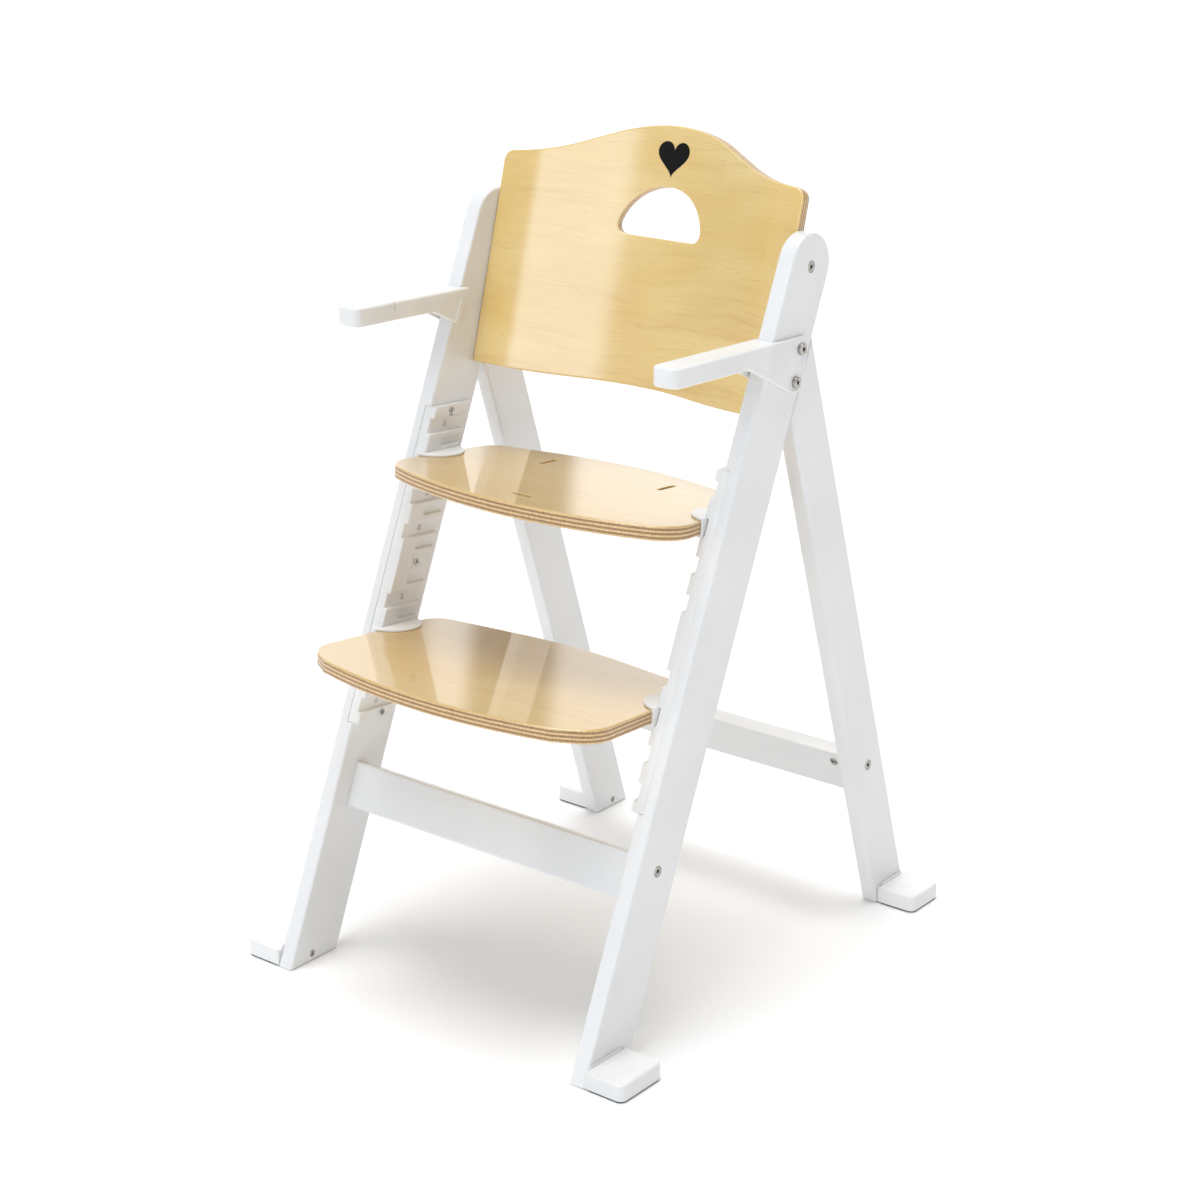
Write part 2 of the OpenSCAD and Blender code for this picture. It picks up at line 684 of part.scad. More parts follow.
// Cheek inside the leg: a small gusset that only laps the leg's front edge
module inner_cheek_outline() hull() {
    for (drop = [8, 33]) translate([arm_y + 4 - drop * tan(front_lean), arm_z - drop])
        circle(3.5);
    translate([arm_y - 48, arm_z - arm_h + 3]) circle(1);
}

module armrest() color(plastic) difference() {
    intersection() {
        union() {
            difference() {
                slab(arm_in, arm_out) arm_bar(0);
                slab(arm_in - 1, arm_out + 1) front_leg_outline(joint_gap);
            }
            slab(leg_out + joint_gap, arm_out) {
                arm_bar(bolt_at(arm_bolt_z[0])[0] - arm_y);
                outer_cheek_outline();
            }
            slab(arm_in, leg_in - joint_gap) {
                arm_bar(7);
                inner_cheek_outline();
            }
        }
        translate([arm_in, arm_y - arm_reach * cos(arm_rise), 0]) linear_extrude(far)
            round_rect(arm_out - arm_in, far, arm_tip_r);
    }
    slab(arm_out - cheek_field, arm_out + 1) offset(delta = -cheek_rim) outer_cheek_outline();
    in_back() for (z = arm_bolt_z)
        translate([0, 0, z]) rod(leg_out - 1, arm_out + 1, bolt_d / 2 + bolt_clear);
    translate([arm_in - 1, arm_y - arm_reach + tray_notch_x, arm_z - 8]) cube([3, 3, 9]);
}

// ---- Feet ----

// One foot beside its leg, centred at y, with a lip up along the leg
module foot(y, len) color(plastic) difference() {
    translate([leg_out, y - len / 2, 0]) {
        difference() {
            translate([-foot_corner_r, 0, pad_t]) linear_extrude(foot_h - pad_t)
                round_rect(foot_out + foot_corner_r, len, foot_corner_r);
            translate([-2 * foot_corner_r, -1, 0]) cube([2 * foot_corner_r, len + 2, foot_h + 1]);
        }
        translate([0, foot_corner_r, pad_t]) cube([foot_lip_t, len - 2 * foot_corner_r,
            foot_h - pad_t + foot_lip_h]);
    }
    foot_screw_bore(y);
}

module foot_pads() color("dimgray") on_both_sides()
    for (p = [[front_foot_y, front_foot_len], [rear_foot_y, rear_foot_len]])
        translate([leg_out + pad_inset, p[0] - p[1] / 2 + pad_inset, 0]) linear_extrude(pad_t)
            round_rect(foot_out - 2 * pad_inset, p[1] - 2 * pad_inset, foot_corner_r - pad_inset);

module foot_screws() color(steel) on_both_sides() for (y = [front_foot_y, rear_foot_y])
    translate([leg_in, y, foot_screw_z]) wood_screw(foot_screw_len);

on_side(1) front_leg();  // left_front_leg
on_side(-1) front_leg();  // right_front_leg
on_side(1) rear_leg();  // left_rear_leg
on_side(-1) rear_leg();  // right_rear_leg
front_crossbar();
rear_crossbar();
on_side(1) rail();  // left_rail
on_side(-1) rail();  // right_rail
backrest();
on_side(1) armrest();  // left_armrest
on_side(-1) armrest();  // right_armrest
on_side(1) foot(front_foot_y, front_foot_len);  // left_front_foot
on_side(-1) foot(front_foot_y, front_foot_len);  // right_front_foot
on_side(1) foot(rear_foot_y, rear_foot_len);  // left_rear_foot
on_side(-1) foot(rear_foot_y, rear_foot_len);  // right_rear_foot
foot_pads();
leg_dowels();
crossbar_dowels();
crossbar_bolts();
crossbar_barrel_nuts();
backrest_bolts();
armrest_bolts();
backrest_barrel_nuts();
rail_screws();
foot_screws();
seat_plate();
on_side(1) seat_clip();  // seat_left_clip
on_side(-1) seat_clip();  // seat_right_clip
seat_clip_screws();
footrest_plate();
on_side(1) footrest_clip();  // footrest_left_clip
on_side(-1) footrest_clip();  // footrest_right_clip
footrest_clip_screws();
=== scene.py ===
import math

import bmesh
import bpy
from mathutils import Matrix, Vector


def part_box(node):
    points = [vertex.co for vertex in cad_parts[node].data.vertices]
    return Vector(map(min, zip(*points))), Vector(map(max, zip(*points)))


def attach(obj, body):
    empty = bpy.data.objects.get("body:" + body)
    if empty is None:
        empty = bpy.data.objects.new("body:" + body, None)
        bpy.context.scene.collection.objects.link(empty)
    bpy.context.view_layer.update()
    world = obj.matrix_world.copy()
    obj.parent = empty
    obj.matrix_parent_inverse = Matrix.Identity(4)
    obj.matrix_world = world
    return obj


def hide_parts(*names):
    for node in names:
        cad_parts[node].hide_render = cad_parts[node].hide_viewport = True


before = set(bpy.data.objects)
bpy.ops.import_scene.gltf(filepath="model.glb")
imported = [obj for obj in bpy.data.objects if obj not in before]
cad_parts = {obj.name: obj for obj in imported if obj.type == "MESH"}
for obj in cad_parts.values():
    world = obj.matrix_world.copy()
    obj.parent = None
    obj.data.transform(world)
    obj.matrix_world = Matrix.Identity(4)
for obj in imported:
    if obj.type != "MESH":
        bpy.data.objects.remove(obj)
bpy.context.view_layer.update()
scene = bpy.context.scene
scene.view_settings.view_transform = "Standard"
mm = 0.001

# Camera above the chair's left front corner, looking down at it; places in millimetres

cameraPlace = {"at": (1592.86, -2033.35, 1288.75), "look": (0.47, -28.39, 302.4),
               "lens": 76.33, "shift": (0.0118, 0.0684)}
camera = bpy.data.objects.new("camera", bpy.data.cameras.new("camera"))
scene.collection.objects.link(camera)
scene.camera = camera
camera.location = Vector(cameraPlace["at"]) * mm
sight = (Vector(cameraPlace["look"]) - Vector(cameraPlace["at"])) * mm
camera.rotation_euler = sight.to_track_quat("-Z", "Y").to_euler()
camera.data.sensor_width = 36
camera.data.lens = cameraPlace["lens"]
camera.data.shift_x, camera.data.shift_y = cameraPlace["shift"]
camera.data.clip_end = 60
print("camera placed")


# Shader building: a Wire is a socket that can be added, multiplied and so on

class Wire:
    def __init__(self, graph, socket):
        self.graph, self.socket = graph, socket

    def __add__(self, other): return self.graph.maths("ADD", self, other)
    def __radd__(self, other): return self.graph.maths("ADD", other, self)
    def __sub__(self, other): return self.graph.maths("SUBTRACT", self, other)
    def __rsub__(self, other): return self.graph.maths("SUBTRACT", other, self)
    def __mul__(self, other): return self.graph.maths("MULTIPLY", self, other)
    def __rmul__(self, other): return self.graph.maths("MULTIPLY", other, self)
    def __truediv__(self, other): return self.graph.maths("DIVIDE", self, other)
    def __neg__(self): return self.graph.maths("MULTIPLY", self, -1)


class Graph:
    def __init__(self, tree):
        self.tree = tree
        tree.nodes.clear()

    def add(self, kind, settings=None, sockets=None, out=0):
        node = self.tree.nodes.new(kind)
        for name, value in (settings or {}).items():
            setattr(node, name, value)
        for name, value in (sockets or {}).items():
            if isinstance(value, Wire):
                self.tree.links.new(value.socket, node.inputs[name])
            else:
                node.inputs[name].default_value = value
        return Wire(self, node.outputs[out]) if node.outputs else node

    def maths(self, operation, a, b=0.0):
        return self.add("ShaderNodeMath", {"operation": operation}, {0: a, 1: b})

    def smooth(self, value, low, high, start=0.0, end=1.0):
        return self.add("ShaderNodeMapRange", {"interpolation_type": "SMOOTHSTEP"},
                        {"Value": value, "From Min": low, "From Max": high,
                         "To Min": start, "To Max": end})

    def mix(self, share, a, b):
        return self.add("ShaderNodeMix", {"data_type": "RGBA"}, {0: share, 6: a, 7: b}, out=2)

    def noise(self, vector, scale, detail=3.0, rough=0.5, warp=0.0):
        return self.add("ShaderNodeTexNoise", None,
                        {"Vector": vector, "Scale": scale, "Detail": detail,
                         "Roughness": rough, "Distortion": warp})

    def stretch(self, vector, scale, shift=(0, 0, 0)):
        return self.add("ShaderNodeMapping", None,
                        {"Vector": vector, "Scale": scale, "Location": shift})

    def bump(self, height, depth, strength=1.0):
        return self.add("ShaderNodeBump", None,
                        {"Height": height, "Distance": depth, "Strength": strength})

    def surface(self, sockets):
        shader = self.add("ShaderNodeBsdfPrincipled", None, sockets)
        self.add("ShaderNodeOutputMaterial", None, {"Surface": shader})


def newMaterial(name):
    material = bpy.data.materials.new(name)
    material.use_nodes = True
    return material, Graph(material.node_tree)


def rgb(red, green, blue):
    return tuple(((c / 255 + 0.055) / 1.055) ** 2.4 for c in (red, green, blue)) + (1,)


# Every wooden piece carries "sheet": metres along the grain, across it and through the sheet
def sheetOf(g):
    return g.add("ShaderNodeAttribute", {"attribute_name": "sheet"}, out=1)


def objectPlace(g):
    return g.add("ShaderNodeTexCoord", out=3)


plyLook = {"honey": rgb(226, 190, 108), "pale": rgb(236, 208, 140), "streak": rgb(204, 156, 78),
           "fleck": rgb(184, 134, 66), "lightPly": rgb(226, 196, 142), "darkPly": rgb(170, 126, 70),
           "glue": rgb(132, 90, 44), "shade": rgb(166, 124, 52), "veneer": 1.1 * mm}


# gloss is the roughness of the varnish, shade how far the face is darkened
def plywood(name, thickness, plies, gloss, shade):
    material, g = newMaterial(name)
    sheet = sheetOf(g)
    depth = g.add("ShaderNodeSeparateXYZ", None, {"Vector": sheet}, out=2)
    # slow waves bend the grain, so that the streaks rise and fall along the sheet
    wave = g.noise(g.stretch(sheet, (7, 5, 0)), 1.0, 2, 0.5)
    flow = g.add("ShaderNodeCombineXYZ", None, {0: 0.0, 1: (wave - 0.5) * 0.04, 2: 0.0})
    bentSheet = g.add("ShaderNodeVectorMath", {"operation": "ADD"}, {0: sheet, 1: flow})
    fibre = g.noise(g.stretch(bentSheet, (11, 420, 0)), 1.0, 4, 0.65)
    figure = g.noise(g.stretch(bentSheet, (6, 95, 0)), 1.0, 5, 0.62, 0.7)
    flame = g.noise(g.stretch(bentSheet, (3.5, 26, 0), (5, 2, 0)), 1.0, 3, 0.55, 1.2)
    cloud = g.noise(g.stretch(sheet, (4, 9, 0), (3, 1, 2)), 1.0, 2, 0.5)
    dash = g.noise(g.stretch(bentSheet, (60, 900, 0), (7, 7, 7)), 1.0, 2, 0.5)
    face = g.mix(g.smooth(cloud, 0.32, 0.68), plyLook["honey"], plyLook["pale"])
    face = g.mix(g.smooth(flame, 0.5, 0.78, 0, 0.3), face, plyLook["streak"])
    face = g.mix(g.smooth(figure, 0.5, 0.76, 0, 0.32), face, plyLook["streak"])
    face = g.mix(g.smooth(fibre, 0.48, 0.78, 0, 0.35), face, plyLook["streak"])
    face = g.mix(g.smooth(dash, 0.64, 0.74, 0, 0.45), face, plyLook["fleck"])
    face = g.mix(shade, face, plyLook["shade"])
    # plies seen at the edge: alternate light and dark, a glue line between them
    pitch = thickness / plies
    waver = g.noise(g.stretch(sheet, (60, 60, 60)), 1.0, 3, 0.6)
    place = (depth + (waver - 0.5) * (0.5 * mm) + thickness / 2) / pitch
    half = g.maths("FRACT", place * 0.5)
    dark = g.smooth(g.maths("ABSOLUTE", half - 0.75), 0.235, 0.262, 1, 0)
    glue = g.smooth(g.maths("ABSOLUTE", g.maths("FRACT", place) - 0.5), 0.44, 0.5, 0, 0.75)
    endGrain = g.noise(g.stretch(sheet, (700, 700, 260)), 1.0, 3, 0.7)
    light = g.mix(g.smooth(endGrain, 0.35, 0.75), plyLook["lightPly"], plyLook["streak"])
    brown = g.mix(g.smooth(endGrain, 0.3, 0.7), plyLook["darkPly"], plyLook["glue"])
    edge = g.mix(glue, g.mix(dark, light, brown), plyLook["glue"])
    atFace = g.smooth(g.maths("ABSOLUTE", depth), thickness / 2 - plyLook["veneer"],
                      thickness / 2 - plyLook["veneer"] * 0.7)
    grain = g.bump(fibre * 0.6 + dash * 0.4, 0.04 * mm, 0.35)
    g.surface({"Base Color": g.mix(atFace, edge, face),
               "Roughness": g.smooth(cloud, 0.3, 0.7, 0.30, 0.36) + (1 - atFace) * 0.12,
               "Normal": grain, "IOR": 1.75,
               "Coat Weight": g.smooth(atFace, 0, 1, 0.35, 1.0),
               "Coat Roughness": gloss, "Coat IOR": 1.75})
    return material


def whitePaint():
    material, g = newMaterial("white_paint")
    sheet = sheetOf(g)
    grain = g.noise(g.stretch(sheet, (14, 300, 300)), 1.0, 4, 0.6)
    spray = g.noise(objectPlace(g), 900, 2, 0.5)
    cloud = g.noise(objectPlace(g), 9, 2, 0.5)
    g.surface({"Base Color": g.mix(g.smooth(cloud, 0.3, 0.7), rgb(229, 229, 229), rgb(234, 234, 234)),
               "Roughness": g.smooth(cloud, 0.3, 0.7, 0.30, 0.38),
               "Normal": g.bump(grain * 0.6 + spray * 0.4, 0.05 * mm, 0.5),
               "Coat Weight": 0.25, "Coat Roughness": 0.2})
    return material


def whitePlastic():
    material, g = newMaterial("white_plastic")
    place = objectPlace(g)
    eroded = g.noise(place, 1900, 3, 0.6)
    cloud = g.noise(place, 22, 2, 0.5)
    g.surface({"Base Color": g.mix(g.smooth(cloud, 0.3, 0.7), rgb(229, 229, 228), rgb(235, 235, 234)),
               "Roughness": g.smooth(eroded, 0.3, 0.7, 0.36, 0.46),
               "Normal": g.bump(eroded, 0.02 * mm, 0.6),
               "Subsurface Weight": 0.06, "Subsurface Scale": 2 * mm})
    return material


def zincSteel():
    material, g = newMaterial("zinc_steel")
    place = objectPlace(g)
    brushed = g.noise(g.stretch(place, (2500, 900, 900)), 1.0, 3, 0.6)
    stain = g.noise(place, 260, 3, 0.6)
    g.surface({"Base Color": g.mix(g.smooth(stain, 0.35, 0.7), rgb(186, 184, 178), rgb(140, 136, 128)),
               "Metallic": 1.0, "Roughness": g.smooth(brushed, 0.3, 0.7, 0.24, 0.42),
               "Normal": g.bump(brushed, 0.01 * mm, 0.4)})
    return material


def darkRubber():
    material, g = newMaterial("dark_rubber")
    mottled = g.noise(objectPlace(g), 700, 3, 0.6)
    g.surface({"Base Color": g.mix(g.smooth(mottled, 0.3, 0.7), rgb(74, 74, 76), rgb(92, 92, 94)),
               "Roughness": g.smooth(mottled, 0.3, 0.7, 0.7, 0.85),
               "Normal": g.bump(mottled, 0.05 * mm, 0.5)})
    return material


def blackPrint():
    material, g = newMaterial("black_print")
    film = g.noise(objectPlace(g), 500, 2, 0.5)
    g.surface({"Base Color": g.mix(film, rgb(5, 5, 5), rgb(12, 12, 12)),
               "Roughness": g.smooth(film, 0.3, 0.7, 0.34, 0.44),
               "Specular IOR Level": 0.2})
    return material


def beech():
    material, g = newMaterial("beech")
    place = objectPlace(g)
    pores = g.noise(g.stretch(place, (80, 900, 900)), 1.0, 3, 0.6)
    g.surface({"Base Color": g.mix(g.smooth(pores, 0.35, 0.7), rgb(214, 178, 130), rgb(176, 132, 84)),
               "Roughness": g.smooth(pores, 0.3, 0.7, 0.5, 0.65), "Normal": g.bump(pores, 0.05 * mm)})
    return material


paint, plastic, steel = whitePaint(), whitePlastic(), zincSteel()
rubber, heartPrint, dowelWood = darkRubber(), blackPrint(), beech()
platePly = plywood("plate_plywood", 15 * mm, 7, 0.05, 0.34)
backPly = plywood("back_plywood", 12 * mm, 7, 0.13, 0.0)
print("materials made")


# Frames of the chair, in millimetres. Each gives the place of (x, across or back, up)

chair = {"floorDepth": 600, "legOut": 213, "legIn": 194, "frontLean": 23.1, "frontWidth": 67,
         "legTop": 800, "rearWidth": 56, "crotchDrop": 148, "slotTilt": 4.4, "slotPitch": 38.7,
         "firstSlotDrop": 229, "backTurn": 7.8}


def turned(angle):
    return math.sin(math.radians(angle)), math.cos(math.radians(angle))


def leaning(origin, lean):
    sine, cosine = turned(lean)
    return lambda x, q, s: (x, origin[0] + q * cosine + s * sine, origin[1] - q * sine + s * cosine)


frontLeg = leaning((-chair["floorDepth"] / 2, 0), chair["frontLean"])
topUp = ((chair["legTop"] - chair["frontWidth"] / 2 * (1 - turned(chair["frontLean"])[0]))
         / turned(chair["frontLean"])[1])
crotch = frontLeg(0, chair["frontWidth"], topUp - chair["crotchDrop"])
crotchRun = chair["floorDepth"] / 2 - crotch[1]
rearLean = (math.degrees(math.acos(chair["rearWidth"] / math.hypot(crotchRun, crotch[2]))
                         - math.atan2(crotch[2], crotchRun)))
rearCorner = chair["floorDepth"] / 2 - chair["rearWidth"] / turned(rearLean)[1]
rearLeg = leaning((rearCorner, 0), -rearLean)
topBolt = frontLeg(0, chair["frontWidth"] / 2, topUp)
backFrame = leaning(topBolt[1:], chair["frontLean"] - chair["backTurn"])


def slotFrame(place):
    at = frontLeg(0, 0, topUp - chair["firstSlotDrop"] - place * chair["slotPitch"])
    return leaning(at[1:], chair["slotTilt"])


# Outlines are lists of points, counter-clockwise; holes are clockwise

def arc(centre, radius, start, end, steps=8):
    return [(centre[0] + radius * turned(start + (end - start) * i / steps)[1],
             centre[1] + radius * turned(start + (end - start) * i / steps)[0])
            for i in range(steps + 1)]


def rounded(corners, radii, steps=6):
    loop = []
    radii = radii if isinstance(radii, (list, tuple)) else [radii] * len(corners)
    for i, radius in enumerate(radii):
        here, before, after = (Vector(corners[k % len(corners)]) for k in (i, i - 1, i + 1))
        a, b = (before - here).normalized(), (after - here).normalized()
        half = a.angle(b) / 2
        if radius <= 0:
            loop.append(tuple(here))
            continue
        middle = here + (a + b).normalized() * (radius / math.sin(half))
        first = here + a * (radius / math.tan(half)) - middle
        last = here + b * (radius / math.tan(half)) - middle
        sweep = first.angle_signed(last)
        for k in range(steps + 1):
            spoke = first.copy()
            spoke.rotate(Matrix.Rotation(-sweep * k / steps, 2))
            loop.append(tuple(middle + spoke))
    return loop


def hullOf(points):
    points = sorted(set((round(x, 6), round(y, 6)) for x, y in points))

    def chain(ordered):
        kept = []
        for p in ordered:
            while len(kept) > 1 and ((kept[-1][0] - kept[-2][0]) * (p[1] - kept[-2][1])
                                     - (kept[-1][1] - kept[-2][1]) * (p[0] - kept[-2][0])) <= 1e-9:
                kept.pop()
            kept.append(p)
        return kept[:-1]
    return chain(points) + chain(points[::-1])


def inset(loop, distance):
    # every side moved square to itself, inwards on a counter-clockwise loop; a side that would
    # turn over is left out, and its ends come together where its neighbours meet
    points = [Vector(p) for p in loop]
    count = len(points)
    runs = [(points[(i + 1) % count] - points[i]).normalized() for i in range(count)]
    normals = [Vector((-run.y, run.x)) for run in runs]

    def meeting(a, b):
        crossed = runs[a].cross(runs[b])
        if (a + 1) % count == b or abs(crossed) < 1e-3:
            square = normals[a] + normals[b]
            return points[b] + square * (distance / max(0.2, 1 + normals[a].dot(normals[b])))
        start, other = points[a] + normals[a] * distance, points[b] + normals[b] * distance
        return start + runs[a] * ((other - start).cross(runs[b]) / crossed)

    kept = list(range(count))
    while True:
        moved = {b: meeting(a, b) for a, b in zip(kept[-1:] + kept[:-1], kept)}
        lengths = [((moved[b] - moved[a]).dot(runs[a]), a) for a, b in zip(kept, kept[1:] + kept[:1])]
        worst, side = min(lengths)
        if worst > -1e-9 or len(kept) < 5:
            break
        kept.remove(side)
    result = []
    for i in range(count):
        after = next((k for k in kept if k >= i), kept[0])
        result.append(tuple(moved[after]))
    return result


def newPiece(name, bm, material):
    bmesh.ops.recalc_face_normals(bm, faces=bm.faces)
    if bm.faces and bm.calc_volume(signed=True) < 0:
        bmesh.ops.reverse_faces(bm, faces=bm.faces)
    mesh = bpy.data.meshes.new(name)
    bm.to_mesh(mesh)
    bm.free()
    mesh.materials.append(material)
    piece = bpy.data.objects.new(name, mesh)
    scene.collection.objects.link(piece)
    return piece


def smoothed(piece, angle=32):
    piece.data.polygons.foreach_set("use_smooth", [True] * len(piece.data.polygons))
    piece.data.set_sharp_from_angle(angle=math.radians(angle))
    return piece


def slab(name, loops, low, high, edge, place, material, bands=4, lowEdge=None, cuts=()):
    # a plate with rounded rims: loops are (points, share of the rounding), the outer one first
    lowEdge = edge if lowEdge is None else lowEdge
    bm = bmesh.new()
    ends = ([], [])
    for loop, share in loops:
        loop = [p for i, p in enumerate(loop) if (Vector(p) - Vector(loop[i - 1])).length > 0.005]
        rings = [(lowEdge * share + 0.3, low)]
        for k in range(bands + 1):
            sine, cosine = turned(90 * k / bands)
            rings.append((lowEdge * share * (1 - sine), low + lowEdge * share * (1 - cosine)))
        for k in range(bands + 1):
            sine, cosine = turned(90 * k / bands)
            rings.append((edge * share * (1 - cosine), high - edge * share * (1 - sine)))
        rings.append((edge * share + 0.3, high))
        rings = list(dict.fromkeys((round(d, 6), round(c, 6)) for d, c in rings))
        rows = []
        for distance, height in rings:
            row, flat = [], inset(loop, distance) if distance else loop
            for i, (a, b) in enumerate(flat):
                again = next((k for k in (i - 1, 0) if 0 <= k < i
                              and (Vector(flat[k]) - Vector((a, b))).length < 1e-5), None)
                row.append(bm.verts.new((a, b, height)) if again is None else row[again])
            rows.append(row)
        for lower, upper in zip(rows, rows[1:]):
            for i in range(len(loop)):
                corners = list(dict.fromkeys((lower[i - 1], lower[i], upper[i], upper[i - 1])))
                if len(corners) > 2:
                    bm.faces.new(corners)
        for end, row in zip(ends, (rows[0], rows[-1])):
            pairs = [(row[i - 1], row[i]) for i in range(len(row)) if row[i - 1] != row[i]]
            end.extend(bm.edges.get(pair) for pair in pairs)
    for edges in ends:
        bmesh.ops.triangle_fill(bm, edges=edges, use_beauty=True)
    for cut in cuts:  # lines across the plate, so that it can bend there
        bmesh.ops.bisect_plane(bm, geom=bm.verts[:] + bm.edges[:] + bm.faces[:],
                               plane_co=(cut, 0, 0), plane_no=(1, 0, 0), dist=1e-5)
    for vertex in bm.verts:
        vertex.co = Vector(place(*vertex.co)) * mm
    return newPiece(name, bm, material)


def block(corners, low, high, place, material):
    # a sharp-edged slab, for cutting
    return slab("block", [(corners, 0)], low, high, 0.01, place, material, 1)


def settled(piece):
    # the piece's modifiers made part of its mesh
    graph = bpy.context.evaluated_depsgraph_get()
    mesh = bpy.data.meshes.new_from_object(piece.evaluated_get(graph))
    piece.modifiers.clear()
    old, piece.data = piece.data, mesh
    bpy.data.meshes.remove(old)
    mesh.name = piece.name
    return piece


def combine(piece, others, operation="DIFFERENCE"):
    for other in others:
        step = piece.modifiers.new(other.name, "BOOLEAN")
        step.operation, step.solver, step.object = operation, "EXACT", other
    settled(piece)
    for other in others:
        bpy.data.meshes.remove(other.data)
    return piece


def straight(a, b, c):
    return a, b, c


def drum(start, end, radius, endRadius=None):
    # a plain rod or cone between two points in millimetres, for cutting holes
    a, b = Vector(start) * mm, Vector(end) * mm
    bm = bmesh.new()
    bmesh.ops.create_cone(bm, cap_ends=True, segments=32, radius1=radius * mm,
                          radius2=(radius if endRadius is None else endRadius) * mm,
                          depth=(b - a).length)
    bmesh.ops.transform(bm, verts=bm.verts, matrix=Matrix.Translation((a + b) / 2)
                        @ (b - a).to_track_quat("Z", "Y").to_matrix().to_4x4())
    return newPiece("drum", bm, paint)


def writeSheet(piece, rows):
    layer = piece.data.attributes.new("sheet", "FLOAT_VECTOR", "POINT")
    layer.data.foreach_set("vector", [value for row in rows for value in row])


def withSheet(piece, along, across, through, origin):
    # the sheet attribute of a flat wooden piece, from three directions
    points = [v.co - Vector(origin) * mm for v in piece.data.vertices]
    axes = [Vector(axis) for axis in (along, across, through)]
    writeSheet(piece, [[p.dot(axis) for axis in axes] for p in points])


def onChair(piece, body, slotName, *nodes):
    smoothed(piece)
    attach(piece, body)
    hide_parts(*nodes)
    low = [min(v.co[k] for v in piece.data.vertices) / mm for k in range(3)]
    high = [max(v.co[k] for v in piece.data.vertices) / mm for k in range(3)]
    corners = [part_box(node) for node in nodes]
    apart = max(max(abs(low[k] - min(c[0][k] for c in corners) / mm) for k in range(3)),
                max(abs(high[k] - max(c[1][k] for c in corners) / mm) for k in range(3)))
    print(f"{piece.name}: {len(piece.data.polygons)} faces, {apart:.2f} mm off its part")
    return piece


# Legs: planks with softened edges, bolts sunk flush, and a rebate for the rail

legLook = {"edge": 2.6, "floorCorner": 1.5, "topSteps": 40, "counterbore": 6.25, "headSunk": 3.5,
           "rebate": 7.4, "railWidth": 59, "railAbove": 13, "railBelow": 12.5, "slotHeight": 15.8,
           "slots": 9, "barBolt": (214 + 13, 170 + 13)}
footLook = {"front": (-265.5, 67), "rear": (270.5, 57), "out": 48, "height": 20, "corner": 8,
            "topEdge": 2.6, "lowEdge": 0.8, "padHeight": 1.5, "lip": (2, 3), "screwUp": 9,
            "screwHole": (4.15, 2.0)}
sides = (("left", 1), ("right", -1))


def legDirections(lean):
    sine, cosine = turned(lean)
    return (0, sine, cosine), (0, cosine, -sine), (1, 0, 0)


def railCorners(grow):
    # the rail's four corners on the leg, in the leg's across and up lengths
    slotLean = chair["frontLean"] - chair["slotTilt"]
    first = topUp - chair["firstSlotDrop"]
    high = first + legLook["railAbove"] + grow
    low = (first - (legLook["slots"] - 1) * chair["slotPitch"]
           - legLook["slotHeight"] / turned(slotLean)[1] - legLook["railBelow"] - grow)
    slope = math.tan(math.radians(slotLean))
    near, away = -20, legLook["railWidth"] + grow
    return [(near, low + slope * near), (away, low + slope * away),
            (away, high + slope * away), (near, high + slope * near)]


def frontLegPiece(name, side):
    width = chair["frontWidth"]
    across = math.tan(math.radians(chair["frontLean"])) * width
    corners = rounded([(0, 0), (width, across), (width, topUp), (0, topUp)],
                      [legLook["floorCorner"], legLook["floorCorner"], 0, 0], 4)
    loop = corners[:-2] + arc((width / 2, topUp), width / 2, 0, 180, legLook["topSteps"])
    place = lambda a, b, c: frontLeg(side * c, a, b)
    leg = slab(name + "_front_leg_plank", [(loop, 1)], chair["legIn"], chair["legOut"],
               legLook["edge"], place, paint)
    rail = block(railCorners(0.15), chair["legIn"] - 5, chair["legIn"] + legLook["rebate"], place, paint)
    out = side * (chair["legOut"] - legLook["headSunk"])
    sunk = [frontLeg(out, width / 2, legLook["barBolt"][0]), (out, *topBolt[1:])]
    cuts = [rail] + [drum(at, (side * 230, *at[1:]), legLook["counterbore"]) for at in sunk]
    cuts.append(footHole(side, footLook["front"][0]))
    combine(leg, cuts)
    withSheet(leg, *legDirections(chair["frontLean"]), frontLeg(0, 0, 0))
    return onChair(leg, "frame", "white_paint", name + "_front_leg")


def footHole(side, y):
    mouth, inner = side * (chair["legIn"] - 0.01), side * (chair["legIn"] + 2.5)
    return drum((mouth, y, footLook["screwUp"]), (inner, y, footLook["screwUp"]), *footLook["screwHole"])


def rearLegPiece(name, side):
    sine, cosine = turned(rearLean)
    width = chair["rearWidth"]
    # the joint face lies on the front leg's back edge: its two ends in this leg's own lengths
    ends = []
    for q in (0, width):
        a, b = rearLeg(0, q, 0), rearLeg(0, q, 1)
        edge = frontLeg(0, chair["frontWidth"], 0)
        lineSine, lineCosine = turned(chair["frontLean"])
        gap = lambda p: (p[1] - edge[1]) * lineCosine - (p[2] - edge[2]) * lineSine
        ends.append((q, gap(a) / (gap(a) - gap(b))))
    floorSlope = sine / cosine
    loop = rounded([(0, 0), (width, -width * floorSlope), ends[1], ends[0]],
                   [legLook["floorCorner"], legLook["floorCorner"], 0.6, 0.6], 4)
    place = lambda a, b, c: rearLeg(side * c, a, b)
    leg = slab(name + "_rear_leg_plank", [(loop, 1)], chair["legIn"], chair["legOut"],
               legLook["edge"], place, paint)
    out = side * (chair["legOut"] - legLook["headSunk"])
    at = rearLeg(out, width / 2, legLook["barBolt"][1])
    combine(leg, [drum(at, (side * 230, *at[1:]), legLook["counterbore"]),
                  footHole(side, footLook["rear"][0])])
    withSheet(leg, *legDirections(-rearLean), rearLeg(0, 0, 0))
    return onChair(leg, "frame", "white_paint", name + "_rear_leg")


